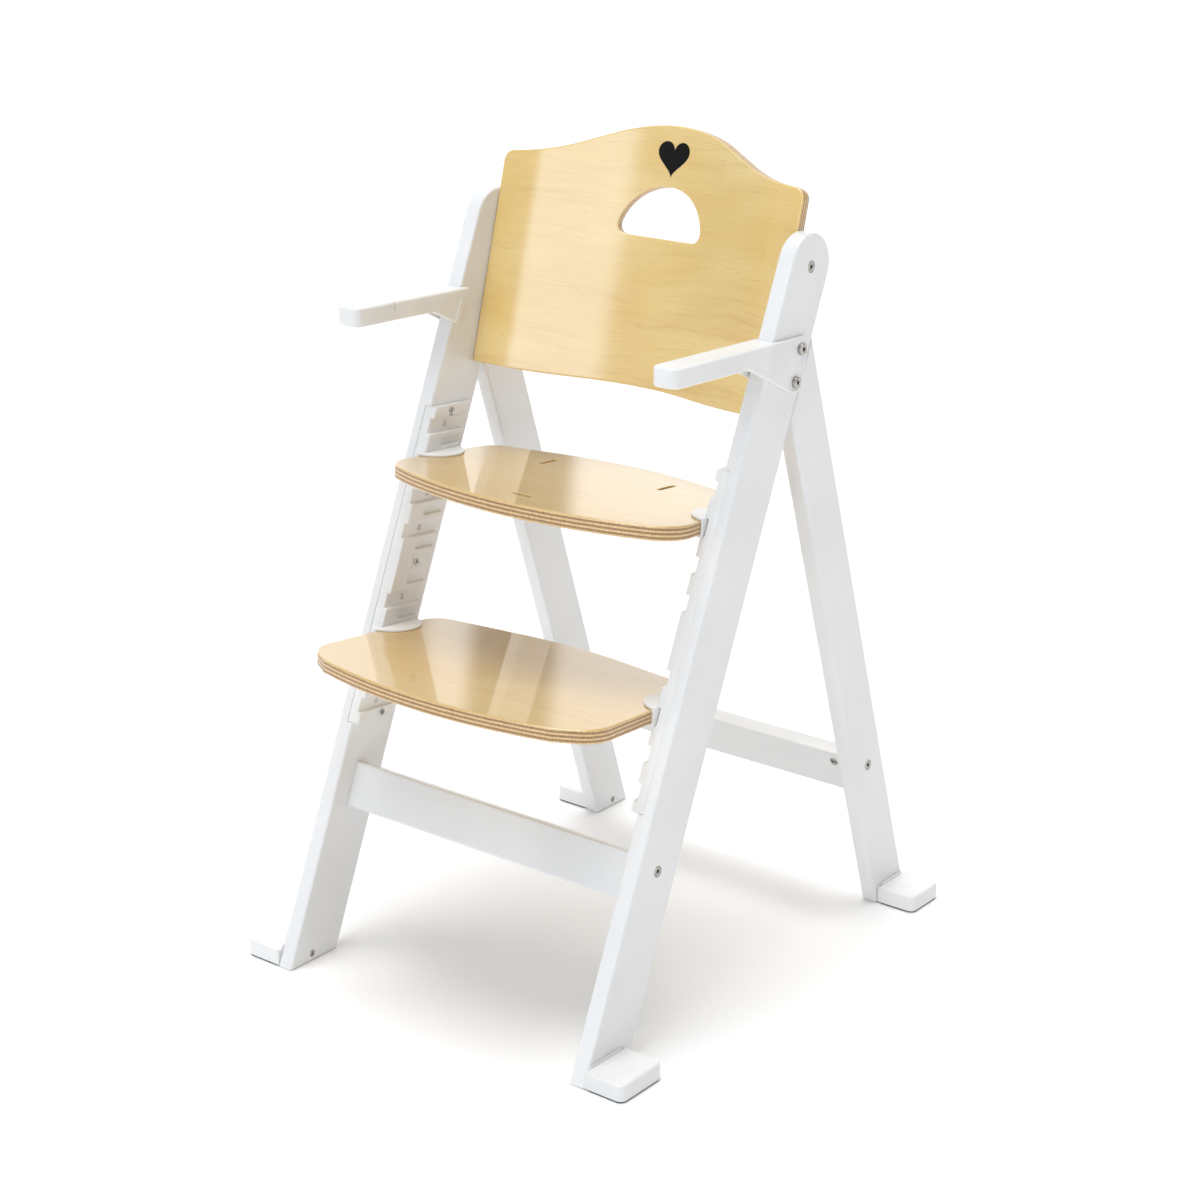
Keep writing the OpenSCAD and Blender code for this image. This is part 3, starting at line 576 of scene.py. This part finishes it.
for sideName, side in sides:
    frontLegPiece(sideName, side)
    rearLegPiece(sideName, side)
print("legs made")


# Crossbars, with the holes of their barrel nuts

barLook = {"thick": 20, "high": 50, "edge": 3, "endEdge": 0.4, "nutIn": 20, "nutHole": 5.05, "up": 13}
for name, legPlace, centre, mouth, lean in (
        ("front_crossbar", frontLeg, (33.5, 214), 1, chair["frontLean"]),
        ("rear_crossbar", rearLeg, (28, 170), -1, -rearLean)):
    halfThick, halfHigh = barLook["thick"] / 2, barLook["high"] / 2
    section = rounded([(-halfThick, -halfHigh), (halfThick, -halfHigh), (halfThick, halfHigh),
                       (-halfThick, halfHigh)], barLook["edge"], 5)
    place = lambda a, b, c: legPlace(c, centre[0] + a, centre[1] + b)
    bar = slab(name + "_plank", [(section, 1)], -chair["legIn"], chair["legIn"], barLook["endEdge"],
               place, paint, 2)
    holes = []
    for side in (1, -1):
        x, up = side * (chair["legIn"] - barLook["nutIn"]), centre[1] + barLook["up"]
        holes.append(drum(legPlace(x, centre[0] + mouth * (halfThick + 2), up),
                          legPlace(x, centre[0] - mouth * 5, up), barLook["nutHole"]))
    combine(bar, holes)
    across, up, _ = legDirections(lean)
    withSheet(bar, (1, 0, 0), across, up, legPlace(0, *centre))
    onChair(bar, "frame", "white_paint", name)
print("crossbars made")


# Feet: a rounded shoe beside each leg, with a lip up along it

for sideName, side in sides:
    for end in ("front", "rear"):
        y, length = footLook[end]
        near, far = chair["legOut"] + 0.2, chair["legOut"] + footLook["out"]
        low, high = y - length / 2, y + length / 2
        corners = [(near, low), (far, low), (far, high), (near, high)]
        loop = rounded(corners, [0.8, footLook["corner"], footLook["corner"], 0.8], 10)
        place = lambda a, b, c: (side * a, b, c)
        shoe = slab(f"{sideName}_{end}_foot_shoe", [(loop, 1)], footLook["padHeight"], footLook["height"],
                    footLook["topEdge"], place, plastic, 5, footLook["lowEdge"])
        thick, tall = footLook["lip"]
        lip = rounded([(near, low + 8), (near + thick, low + 8), (near + thick, high - 8),
                       (near, high - 8)], [0.1, 0.9, 0.9, 0.1], 4)
        combine(shoe, [slab("lip", [(lip, 1)], 10, footLook["height"] + tall, 0.8, place, plastic,
                            3, 0.1)], "UNION")
        onChair(shoe, "frame", "white_plastic", f"{sideName}_{end}_foot")
print("feet made")


# Rails and end clips: moulded plastic, so each edge of the part's own shape is softened

mouldLook = {"rail": 1.3, "clip": 0.8, "bands": 3, "angle": 32}


def moulded(nodes, name, body, width):
    bm = bmesh.new()
    for node in nodes:
        bm.from_mesh(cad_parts[node].data)
    bmesh.ops.remove_doubles(bm, verts=bm.verts, dist=0.01 * mm)
    bmesh.ops.dissolve_limit(bm, angle_limit=math.radians(1), verts=bm.verts, edges=bm.edges)
    piece = newPiece(name, bm, plastic)
    soften = piece.modifiers.new("soften", "BEVEL")
    soften.width, soften.segments = width * mm, mouldLook["bands"]
    soften.limit_method, soften.angle_limit = "ANGLE", math.radians(mouldLook["angle"])
    soften.use_clamp_overlap = False
    settled(piece)
    return onChair(piece, body, "white_plastic", *nodes)


for sideName, side in sides:
    moulded([sideName + "_rail"], sideName + "_rail_moulding", "frame", mouldLook["rail"])
    for body in ("seat", "footrest"):
        moulded([f"{body}_{sideName}_clip"], f"{body}_{sideName}_end_clip", body, mouldLook["clip"])
print("rails and clips made")


# Armrests: a bar that ends in two cheeks round the leg; the outer one is a rimmed triangle

armLook = {"reach": 168, "drop": 84.5, "high": 20, "rise": 2.1, "tip": 10, "edge": 2.6, "cheekEdge": 1.3,
           "cheek": 5.5, "gap": 0.3, "bolts": (-81, -114.5), "padRound": 12, "corner": 5,
           "rim": 3, "field": 0.8, "notch": 58}


def armrest(name, side):
    gap, armUp = armLook["gap"], topUp - armLook["drop"]
    _, armY, armZ = frontLeg(0, 0, armUp)
    sine, cosine = turned(armLook["rise"])
    outer = chair["legOut"] + gap + armLook["cheek"]
    inner = chair["legIn"] - gap - armLook["cheek"]
    bolts = [backFrame(0, 0, z)[1:] for z in armLook["bolts"]]
    barPlace = lambda a, b, c: (side * a, armY + b * cosine + c * sine, armZ - b * sine + c * cosine)
    corners = [(inner, -armLook["reach"]), (outer, -armLook["reach"]), (outer, 8), (inner, 8)]
    barLoop = rounded(corners, [armLook["tip"], armLook["tip"], 0.5, 0.5], 10)
    bar = slab(name + "_armrest_moulding", [(barLoop, 1)], -armLook["high"], 0, armLook["edge"],
               barPlace, plastic, 5)

    def circleAt(centre, radius):
        return arc(centre, radius, 0, 350, 35)
    under = armZ - armLook["high"]
    backY = bolts[0][0] + armLook["padRound"] - armLook["corner"]
    topAt = (backY, armZ + (armY - backY) * sine / cosine - armLook["corner"] - 0.2)
    frontTop = (armY - 70, armZ + 70 * sine / cosine - 2.5)
    cheek = hullOf(circleAt(bolts[0], armLook["padRound"]) + circleAt(bolts[1], armLook["padRound"])
                   + circleAt(topAt, armLook["corner"])
                   + circleAt((armY - 39, under + 3), 1) + circleAt(frontTop, 2)
                   + circleAt((armY - 45, under + 4), 2.5))
    cheekPlace = lambda a, b, c: (side * c, a, b)
    outside = slab("cheek", [(cheek, 1)], chair["legOut"] + gap, outer - 0.02,
                   armLook["cheekEdge"], cheekPlace, plastic, 4, 0.3)
    gusset = hullOf([p for drop in (8, 33) for p in circleAt(
        (armY + 4 - drop * math.tan(math.radians(chair["frontLean"])), armZ - drop), 3.5)]
        + circleAt((armY - 48, under + 3), 1))
    inside = slab("gusset", [(gusset, 1)], inner + 0.02, chair["legIn"] - gap, 0.3, cheekPlace,
                  plastic, 4, armLook["cheekEdge"])
    combine(bar, [outside, inside], "UNION")
    width = chair["frontWidth"]
    legShape = [(-gap, 500), (width + gap, 500), (width + gap, topUp + 60), (-gap, topUp + 60)]
    legPlace = lambda a, b, c: frontLeg(side * c, a, b)
    leg = block(legShape, chair["legIn"] - gap, chair["legOut"] + gap, legPlace, plastic)
    # the field inside the rim is a rounded triangle, sunk a little
    fieldCorners = [(armY - 52, armZ - armLook["rim"] - 2.2),
                    (bolts[0][0] + armLook["padRound"] - armLook["rim"] - 0.3,
                     armZ - armLook["rim"] - 5.4),
                    (bolts[1][0] + 6.5, bolts[1][1] - 7.5), (bolts[1][0] - 4.5, bolts[1][1] - 8.4),
                    (armY - 41, under + 4.6)]
    fieldLoop = rounded(fieldCorners[::-1], [1.5, 5, 5, 3, 1.5], 6)
    field = slab("field", [(fieldLoop, 1)], outer - armLook["field"], outer + 3, 0.3, cheekPlace,
                 plastic, 2, 0.4)
    notchY = -armLook["reach"] + armLook["notch"]
    notch = block([(inner - 2, notchY - 1.2), (inner + 1.4, notchY - 1.2),
                   (inner + 1.4, notchY + 1.2), (inner - 2, notchY + 1.2)], -9, 2, barPlace, plastic)
    innerCorners = [(armY - 20, armZ - 5.5), (armY - 3.5, armZ - 6.5), (armY - 13, armZ - 32),
                    (armY - 19, armZ - 30), (armY - 41, under + 3)]
    innerLoop = rounded(innerCorners[::-1], [1.5, 2, 2, 1.5, 1.5], 5)
    innerField = slab("innerField", [(innerLoop, 1)], inner - 3, inner + armLook["field"], 0.4, cheekPlace,
                      plastic, 2, 0.3)
    combine(bar, [leg, field, innerField, notch])
    return onChair(bar, "frame", "white_plastic", name + "_armrest")


for sideName, side in sides:
    armrest(sideName, side)
print("armrests made")


# Seat and footrest: plywood plates with bowed edges, ends let into their clips

plateLook = {"thick": 15, "clear": 0.4, "end": 189.5, "edge": 2.0, "corner": 38, "rearCorner": 29,
             "lobe": (23.5, 33, 2.5)}
plates = {"seat": {"place": 1, "front": 97, "rear": 133, "sideY": 68.5, "backY": 55.5, "taper": 11.5,
                   "bows": (437, 380),
                   "slits": ((79, 80.5, 5.5, 30), (-79, 80.5, 5.5, 30), (0, -60, 26, 5.5))},
          "footrest": {"place": 6, "front": 147, "rear": 105, "sideY": 67.5, "backY": 47, "taper": 6.5,
                       "bows": (523, 480), "slits": ()}}


def plateLoop(size):
    frontX = plateLook["end"] - plateLook["corner"]
    rearX = plateLook["end"] - size["taper"] - plateLook["rearCorner"]
    frontY, rearY = size["sideY"] - size["front"], size["rear"] - size["backY"]
    points = []
    for k in range(72):
        sine, cosine = turned(k * 5)
        for x, y, radius in ((frontX, frontY, plateLook["corner"]), (rearX, rearY, plateLook["rearCorner"])):
            points.extend((side * x + radius * cosine, y + radius * sine) for side in (1, -1))
    for k in range(-16, 17):
        x = k / 16 * frontX
        bow = size["bows"][0]
        points.append((x, -size["front"] + bow - math.sqrt(bow * bow - x * x)))
        x, bow = k / 16 * rearX, size["bows"][1]
        points.append((x, size["rear"] - bow + math.sqrt(bow * bow - x * x)))
    return hullOf(points)


def slit(x, y, wide, long):
    radius = min(wide, long) / 2 - 0.02
    corners = [(x - wide / 2, y - long / 2), (x - wide / 2, y + long / 2),
               (x + wide / 2, y + long / 2), (x + wide / 2, y - long / 2)]
    return rounded(corners, radius, 5)


for name, size in plates.items():
    place = slotFrame(size["place"])
    loops = [(plateLoop(size), 1)] + [(slit(*hole), 0.3) for hole in size["slits"]]
    low = -plateLook["clear"] - plateLook["thick"]
    plate = slab(name + "_board", loops, low, -plateLook["clear"], plateLook["edge"], place, platePly, 5)
    middle, radius, wall = plateLook["lobe"]
    reach = math.sqrt(radius ** 2 - (wall + 1) ** 2) + 0.2
    end = plateLook["end"] - wall
    corners = [(end, middle - reach), (end + 9, middle - reach),
               (end + 9, middle + reach), (end, middle + reach)]
    for _, side in sides:
        combine(plate, [block(corners, low - 5, 5, lambda a, b, c: place(side * a, b, c), platePly)])
    sine, cosine = turned(chair["slotTilt"])
    withSheet(plate, (1, 0, 0), (0, cosine, -sine), (0, sine, cosine),
              place(0, 0, low + plateLook["thick"] / 2))
    onChair(plate, name, "plywood", name + "_plate")
print("seat and footrest boards made")


# Backrest: a flat outline with its hand hole, bent over a mould that is level up and down

backLook = {"thick": 12, "half": 193.7, "flatEnds": 24, "hollow": 40, "hollowRound": 220, "slope": 19,
            "up": 74.5, "rise": 48.5, "crestRound": 180, "crestSlope": 23.5, "down": 155.5, "shoulder": 12,
            "handHole": (5.5, 54, 10), "edge": 1.8, "bands": 96, "nutHole": 5.05}


def swell(x, run, rise, radius, slope):
    # drop below a crest: an arc, a straight of that slope, and an arc that ends level
    sine, cosine = turned(slope)
    tangent, half = sine / cosine, math.tan(math.radians(slope / 2))
    x1, drop = radius * sine, radius * (1 - cosine)
    x2 = (rise - drop + x1 * tangent - run * half) / (tangent - half)
    radius2, a = (run - x2) / sine, min(abs(x), run)
    if a < x1:
        return radius - math.sqrt(radius * radius - a * a)
    if a < x2:
        return drop + (a - x1) * tangent
    return rise - radius2 + math.sqrt(max(0, radius2 * radius2 - (run - a) ** 2))


def hollowAt(x):
    return backLook["hollow"] - swell(x, backLook["half"] - backLook["flatEnds"], backLook["hollow"],
                                      backLook["hollowRound"], backLook["slope"])


def facing(x):
    # sine and cosine of the bent board's turn at x
    slope = 0 if abs(x) > backLook["half"] - 1.5 else hollowAt(x + 0.5) - hollowAt(x - 0.5)
    return slope / math.hypot(1, slope), 1 / math.hypot(1, slope)


def bent(x, z, depth):
    # depth runs from -thick/2 at the front face to +thick/2 at the back
    sine, cosine = facing(x)
    shift = depth + backLook["thick"] / 2
    return backFrame(x - shift * sine, hollowAt(x) - backLook["thick"] / 2 + shift * cosine, z)


def unbent(point):
    # the place on the flat board that bends to this point
    lean, leanCosine = turned(chair["frontLean"] - chair["backTurn"])
    y, z = point[1] - topBolt[1], point[2] - topBolt[2]
    out, up = y * leanCosine - z * lean, y * lean + z * leanCosine
    x, shift = point[0], 0
    for _ in range(8):
        sine, cosine = facing(x)
        shift = (out - hollowAt(x) + backLook["thick"] / 2) / cosine
        x = point[0] + shift * sine
    return x, up, shift - backLook["thick"] / 2


def backLoop():
    half, shoulder = backLook["half"], backLook["shoulder"]
    crest = lambda x: backLook["up"] + backLook["rise"] - swell(x, half, backLook["rise"],
                                                               backLook["crestRound"], backLook["crestSlope"])
    lower = lambda x: -backLook["down"] + 5 - swell(x, 150, 5, 1130, 3.8)
    spread = [half * (2 * k / backLook["bands"] - 1) for k in range(backLook["bands"] + 1)]
    top = [(x, crest(x)) for x in reversed(spread) if abs(x) < half - shoulder]
    right = arc((half - shoulder, crest(half) - shoulder), shoulder, 0, 90, 8)
    left = arc((shoulder - half, crest(half) - shoulder), shoulder, 90, 180, 8)
    bottom = [(x, lower(x)) for x in spread if abs(x) < half - 3]
    lowRight = arc((half - 2, lower(half) + 2), 2, -90, 0, 4)
    lowLeft = arc((2 - half, lower(half) + 2), 2, 180, 270, 4)
    return bottom + lowRight + right + top + left + lowLeft


def handHoleLoop():
    flat, radius, corner = backLook["handHole"]
    cornerX = math.sqrt((radius - corner) ** 2 - corner ** 2)
    turn = math.degrees(math.atan2(corner, cornerX))
    loop = arc((0, flat), radius, turn, 180 - turn, 48)
    loop += arc((-cornerX, flat + corner), corner, 180 - turn, 270, 8)
    loop += arc((cornerX, flat + corner), corner, -90, turn, 8)
    return loop[::-1]


def backrest():
    cuts = [backLook["half"] * (2 * k / backLook["bands"] - 1) for k in range(1, backLook["bands"])]
    flat = slab("backrest_board", [(backLoop(), 1), (handHoleLoop(), 0.8)], -backLook["thick"] / 2,
                backLook["thick"] / 2, backLook["edge"], straight, backPly, 5, None, cuts)
    for vertex in flat.data.vertices:
        vertex.co = Vector(bent(*(vertex.co / mm))) * mm
    bm = bmesh.new()
    bm.from_mesh(flat.data)
    bmesh.ops.recalc_face_normals(bm, faces=bm.faces)
    bm.to_mesh(flat.data)
    bm.free()
    holes = []
    for side in (1, -1):
        for z in (0, *armLook["bolts"]):
            x = side * (chair["legIn"] - barLook["nutIn"])
            holes.append(drum(backFrame(x, backLook["thick"] + 3, z),
                              backFrame(x, -backLook["thick"] / 2 + 4, z), backLook["nutHole"]))
    combine(flat, holes)
    writeSheet(flat, [[value * mm for value in unbent(v.co / mm)] for v in flat.data.vertices])
    return onChair(flat, "frame", "plywood", "backrest")


backrest()


# A small black heart printed above the hand hole

heartLook = {"wide": 40, "high": 37, "up": 88, "proud": 0.25}


def heart():
    loop = []
    for k in range(64):
        angle = -2 * math.pi * k / 64
        x = 16 * math.sin(angle) ** 3
        z = 13 * math.cos(angle) - 5 * math.cos(2 * angle) - 2 * math.cos(3 * angle) - math.cos(4 * angle)
        loop.append((x / 32 * heartLook["wide"], heartLook["up"] + (z + 2.5) / 29 * heartLook["high"]))
    face = -backLook["thick"] / 2
    cuts = [-14, -10, -6, -3, 0.001, 3, 6, 10, 14]
    mark = slab("heart_mark", [(loop, 1)], face - heartLook["proud"], face + 0.3, 0.1,
                bent, heartPrint, 2, 0.1, cuts)
    smoothed(mark)
    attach(mark, "frame")
    return mark


heart()
print("backrest made")


# Bolts and screws: one shape of each kind, set out on points that carry the way they face

fastenLook = {"boltHead": (6, 3.5), "boltShank": 3, "hexFlats": 4, "hexDeep": 2.2, "screwHead": (4, 2.4),
              "screwShank": 2, "cross": (2.5, 0.5, 1.3), "facets": 40, "frameBolt": 42.5, "armBolt": 51,
              "railScrew": 25, "footScrew": 43, "clipScrew": 12, "armHeadSunk": 0.8, "railHeadX": 185.4,
              "railScrews": ((0, 6.16), (4, -7.9), (8, -21.72)), "railScrewAcross": 29,
              "clipScrewX": 172.5, "clipScrewUp": -19.4, "clipScrews": (6, 41)}


def lathed(name, profile):
    bm, facets = bmesh.new(), fastenLook["facets"]
    rows = []
    for radius, up in profile:
        if radius == 0:
            rows.append([bm.verts.new((0, 0, up * mm))] * facets)
        else:
            turns = [turned(360 * k / facets) for k in range(facets)]
            rows.append([bm.verts.new((radius * cosine * mm, radius * sine * mm, up * mm))
                         for sine, cosine in turns])
    for lower, upper in zip(rows, rows[1:]):
        for i in range(facets):
            corners = list(dict.fromkeys((lower[i - 1], lower[i], upper[i], upper[i - 1])))
            if len(corners) > 2:
                bm.faces.new(corners)
    return newPiece(name, bm, steel)


def boltShape(length):
    radius, high = fastenLook["boltHead"]
    shank = fastenLook["boltShank"]
    shape = lathed("bolt", [(0, -length), (shank - 0.6, -length), (shank, -length + 0.6), (shank, 0),
                            (radius - 0.25, 0), (radius, 0.25), (radius, high - 0.8),
                            (radius - 0.23, high - 0.25), (radius - 0.8, high), (radius - 1.2, high),
                            (0, high)])
    reach = fastenLook["hexFlats"] / math.sqrt(3)
    hexagon = [(reach * turned(60 * k)[1], reach * turned(60 * k)[0]) for k in range(6)]
    return smoothed(combine(shape, [block(hexagon, high - fastenLook["hexDeep"], high + 1, straight, steel)]))


def screwShape(length):
    radius, high = fastenLook["screwHead"]
    shank = fastenLook["screwShank"]
    shape = lathed("screw", [(0, -length), (shank - 1, -length), (shank, -length + 2), (shank, -high),
                             (radius - 0.1, -0.15), (radius, -0.1), (radius - 0.1, 0),
                             (radius - 0.5, 0), (0, 0)])
    reach, half, deep = fastenLook["cross"]
    plus = [(reach, -half), (reach, half), (half, half), (half, reach), (-half, reach), (-half, half),
            (-reach, half), (-reach, -half), (-half, -half), (-half, -reach), (half, -reach), (half, -half)]
    return smoothed(combine(shape, [block(plus, -deep, 1, straight, steel)]))


def fastenerTree():
    tree = bpy.data.node_groups.new("set_out_fasteners", "GeometryNodeTree")
    sockets = {}
    for name, kind, way in (("Points", "NodeSocketGeometry", "INPUT"), ("Shape", "NodeSocketObject", "INPUT"),
                            ("Finish", "NodeSocketMaterial", "INPUT"), ("Seed", "NodeSocketInt", "INPUT"),
                            ("Fasteners", "NodeSocketGeometry", "OUTPUT")):
        sockets[name] = tree.interface.new_socket(name, in_out=way, socket_type=kind).identifier

    def node(kind, **settings):
        made = tree.nodes.new(kind)
        for key, value in settings.items():
            setattr(made, key, value)
        return made
    given, result = node("NodeGroupInput"), node("NodeGroupOutput")
    facing = node("GeometryNodeInputNamedAttribute", data_type="FLOAT_VECTOR")
    facing.inputs["Name"].default_value = "facing"
    aligned = node("FunctionNodeAlignRotationToVector", axis="Z")
    chance = node("FunctionNodeRandomValue", data_type="FLOAT")
    turn = node("FunctionNodeAxisAngleToRotation")
    turn.inputs["Axis"].default_value = (0, 0, 1)
    both = node("FunctionNodeRotateRotation", rotation_space="LOCAL")
    shape = node("GeometryNodeObjectInfo")
    instances = node("GeometryNodeInstanceOnPoints")
    real = node("GeometryNodeRealizeInstances")
    finish = node("GeometryNodeSetMaterial")
    highest = [s for s in chance.inputs if s.name == "Max" and s.type == "VALUE"][0]
    highest.default_value = 2 * math.pi
    value = [s for s in chance.outputs if s.type == "VALUE"][0]
    vector = [s for s in facing.outputs if s.type == "VECTOR"][0]
    for start, end in ((vector, aligned.inputs["Vector"]), (given.outputs["Seed"], chance.inputs["Seed"]),
                       (value, turn.inputs["Angle"]), (aligned.outputs[0], both.inputs["Rotation"]),
                       (turn.outputs[0], both.inputs["Rotate By"]),
                       (given.outputs["Shape"], shape.inputs["Object"]),
                       (given.outputs["Points"], instances.inputs["Points"]),
                       (shape.outputs["Geometry"], instances.inputs["Instance"]),
                       (both.outputs[0], instances.inputs["Rotation"]),
                       (instances.outputs[0], real.inputs["Geometry"]),
                       (real.outputs[0], finish.inputs["Geometry"]),
                       (given.outputs["Finish"], finish.inputs["Material"]),
                       (finish.outputs[0], result.inputs["Fasteners"])):
        tree.links.new(start, end)
    return tree, sockets


fastenerNodes, fastenerSockets = fastenerTree()


def setOut(name, body, node, shape, points, seed):
    mesh = bpy.data.meshes.new(name)
    mesh.from_pydata([tuple(Vector(at) * mm) for at, _ in points], [], [])
    mesh.attributes.new("facing", "FLOAT_VECTOR", "POINT").data.foreach_set(
        "vector", [value for _, way in points for value in way])
    piece = bpy.data.objects.new(name, mesh)
    scene.collection.objects.link(piece)
    step = piece.modifiers.new("fasteners", "NODES")
    step.node_group = fastenerNodes
    step[fastenerSockets["Shape"]] = shape
    step[fastenerSockets["Finish"]] = steel
    step[fastenerSockets["Seed"]] = seed
    settled(piece)
    bpy.data.meshes.remove(shape.data)
    return onChair(piece, body, "steel", node)


def headPoints(places, headX, faceOut=1):
    # each place is (across x) -> point; the heads face outwards, or inwards for faceOut -1
    return [(place(side * headX), (side * faceOut, 0, 0)) for _, side in sides for place in places]


barBolts = [lambda x: frontLeg(x, chair["frontWidth"] / 2, legLook["barBolt"][0]),
            lambda x: rearLeg(x, chair["rearWidth"] / 2, legLook["barBolt"][1])]
headX = chair["legOut"] - legLook["headSunk"]
armHeadX = chair["legOut"] + armLook["gap"] + armLook["cheek"] - fastenLook["armHeadSunk"]
tilted = turned(chair["slotTilt"])
downwards = (0, -tilted[0], -tilted[1])
railScrews = [lambda x, p=p, v=v: slotFrame(p)(x, fastenLook["railScrewAcross"], v)
              for p, v in fastenLook["railScrews"]]
clipPoints = {name: [(slotFrame(size["place"])(side * fastenLook["clipScrewX"], u,
                                               fastenLook["clipScrewUp"]), downwards)
                     for _, side in sides for u in fastenLook["clipScrews"]]
              for name, size in plates.items()}
setOut("crossbar_bolt_set", "frame", "crossbar_bolts", boltShape(fastenLook["frameBolt"]),
       headPoints(barBolts, headX), 3)
setOut("backrest_bolt_set", "frame", "backrest_bolts", boltShape(fastenLook["frameBolt"]),
       headPoints([lambda x: (x, *topBolt[1:])], headX), 5)
setOut("armrest_bolt_set", "frame", "armrest_bolts", boltShape(fastenLook["armBolt"]),
       headPoints([lambda x, z=z: backFrame(x, 0, z) for z in armLook["bolts"]], armHeadX), 7)
setOut("rail_screw_set", "frame", "rail_screws", screwShape(fastenLook["railScrew"]),
       headPoints(railScrews, fastenLook["railHeadX"], -1), 11)
setOut("foot_screw_set", "frame", "foot_screws", screwShape(fastenLook["footScrew"]),
       headPoints([lambda x, y=footLook[end][0]: (x, y, footLook["screwUp"]) for end in ("front", "rear")],
                  chair["legIn"], -1), 13)
for name, points in clipPoints.items():
    setOut(name + "_clip_screw_set", name, name + "_clip_screws", screwShape(fastenLook["clipScrew"]),
           points, 17)
print("fasteners set out")


# Pieces that stay as they are, with their own materials

for node, material in (("leg_dowels", dowelWood), ("crossbar_dowels", dowelWood), ("foot_pads", rubber),
                       ("crossbar_barrel_nuts", steel), ("backrest_barrel_nuts", steel)):
    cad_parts[node].data.materials.clear()
    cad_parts[node].data.materials.append(material)


# Studio: a wide pale floor, an even sky with soft panels, and a high soft lamp

def paleFloor():
    material, g = newMaterial("studio_floor")
    speckle = g.noise(objectPlace(g), 3, 2, 0.5)
    g.surface({"Base Color": g.mix(speckle, (0.945, 0.945, 0.945, 1), (0.955, 0.955, 0.955, 1)),
               "Roughness": g.smooth(speckle, 0.3, 0.7, 0.85, 0.95), "Specular IOR Level": 0.0})
    bm = bmesh.new()
    bmesh.ops.create_grid(bm, x_segments=2, y_segments=2, size=60)
    floor = newPiece("floor", bm, material)
    floor.location.z = -0.0002


skyLook = {"even": 0.58, "leftSide": -0.13, "panel": 2.3, "flag": 0.4, "wall": 0.72,
           "dips": ((-141.5, 1.0, 0.9), (-139.1, 0.4, 0.6)), "most": 3.0, "cool": (0.88, 1.0, 1.14)}


def studioSky():
    world = bpy.data.worlds.new("studio_sky")
    scene.world = world
    world.use_nodes = True
    g = Graph(world.node_tree)
    way = g.add("ShaderNodeTexCoord", out=0)
    x, y, z = (g.add("ShaderNodeSeparateXYZ", None, {"Vector": way}, out=k) for k in range(3))
    # 0 degrees is straight ahead of the chair, 90 on its left
    around = g.maths("ARCTAN2", x, -y) * math.degrees(1)
    above = g.maths("ARCSINE", z) * math.degrees(1)

    def window(value, low, high, soft):
        return g.smooth(value, low - soft, low + soft) * g.smooth(value, high - soft, high + soft, 1, 0)
    light = skyLook["even"] + window(around, 40, 140, 25) * skyLook["leftSide"]
    light = light * (1 - window(around, -80, -45, 4) * skyLook["flag"])
    panel = window(around, -13, 13, 8) * window(above, -15, 45, 8) * skyLook["panel"]
    wall = window(around, -178, -102, 6) * window(above, -2, 35, 4)
    light = light + wall * skyLook["wall"]
    for centre, half, share in skyLook["dips"]:
        dip = window(around, centre - half, centre + half, 0.3) * window(above, -2, 40, 4) * share
        light = light * (1 - dip)
    dark = g.add("ShaderNodeBackground", None, {"Color": (1, 1, 1, 1), "Strength": 0.0})
    bright = g.add("ShaderNodeBackground", None, {"Color": (1, 1, 1, 1), "Strength": skyLook["most"]})
    cool = g.add("ShaderNodeBackground", None, {"Color": (*skyLook["cool"], 1), "Strength": skyLook["most"]})
    mixed = g.add("ShaderNodeMixShader", None, {0: light / skyLook["most"], 1: dark, 2: bright})
    lit = g.add("ShaderNodeMixShader", None, {0: panel / skyLook["most"], 1: mixed, 2: cool})
    g.add("ShaderNodeOutputWorld", None, {"Surface": lit})


lampLook = {"energy": 2.0, "spread": 38, "tilt": (1, -2, 0)}


def highLamp():
    lamp = bpy.data.objects.new("high_lamp", bpy.data.lights.new("high_lamp", "SUN"))
    lamp.data.energy = lampLook["energy"]
    lamp.data.angle = math.radians(lampLook["spread"])
    lamp.rotation_euler = [math.radians(angle) for angle in lampLook["tilt"]]
    scene.collection.objects.link(lamp)


paleFloor()
studioSky()
highLamp()
print("studio made")
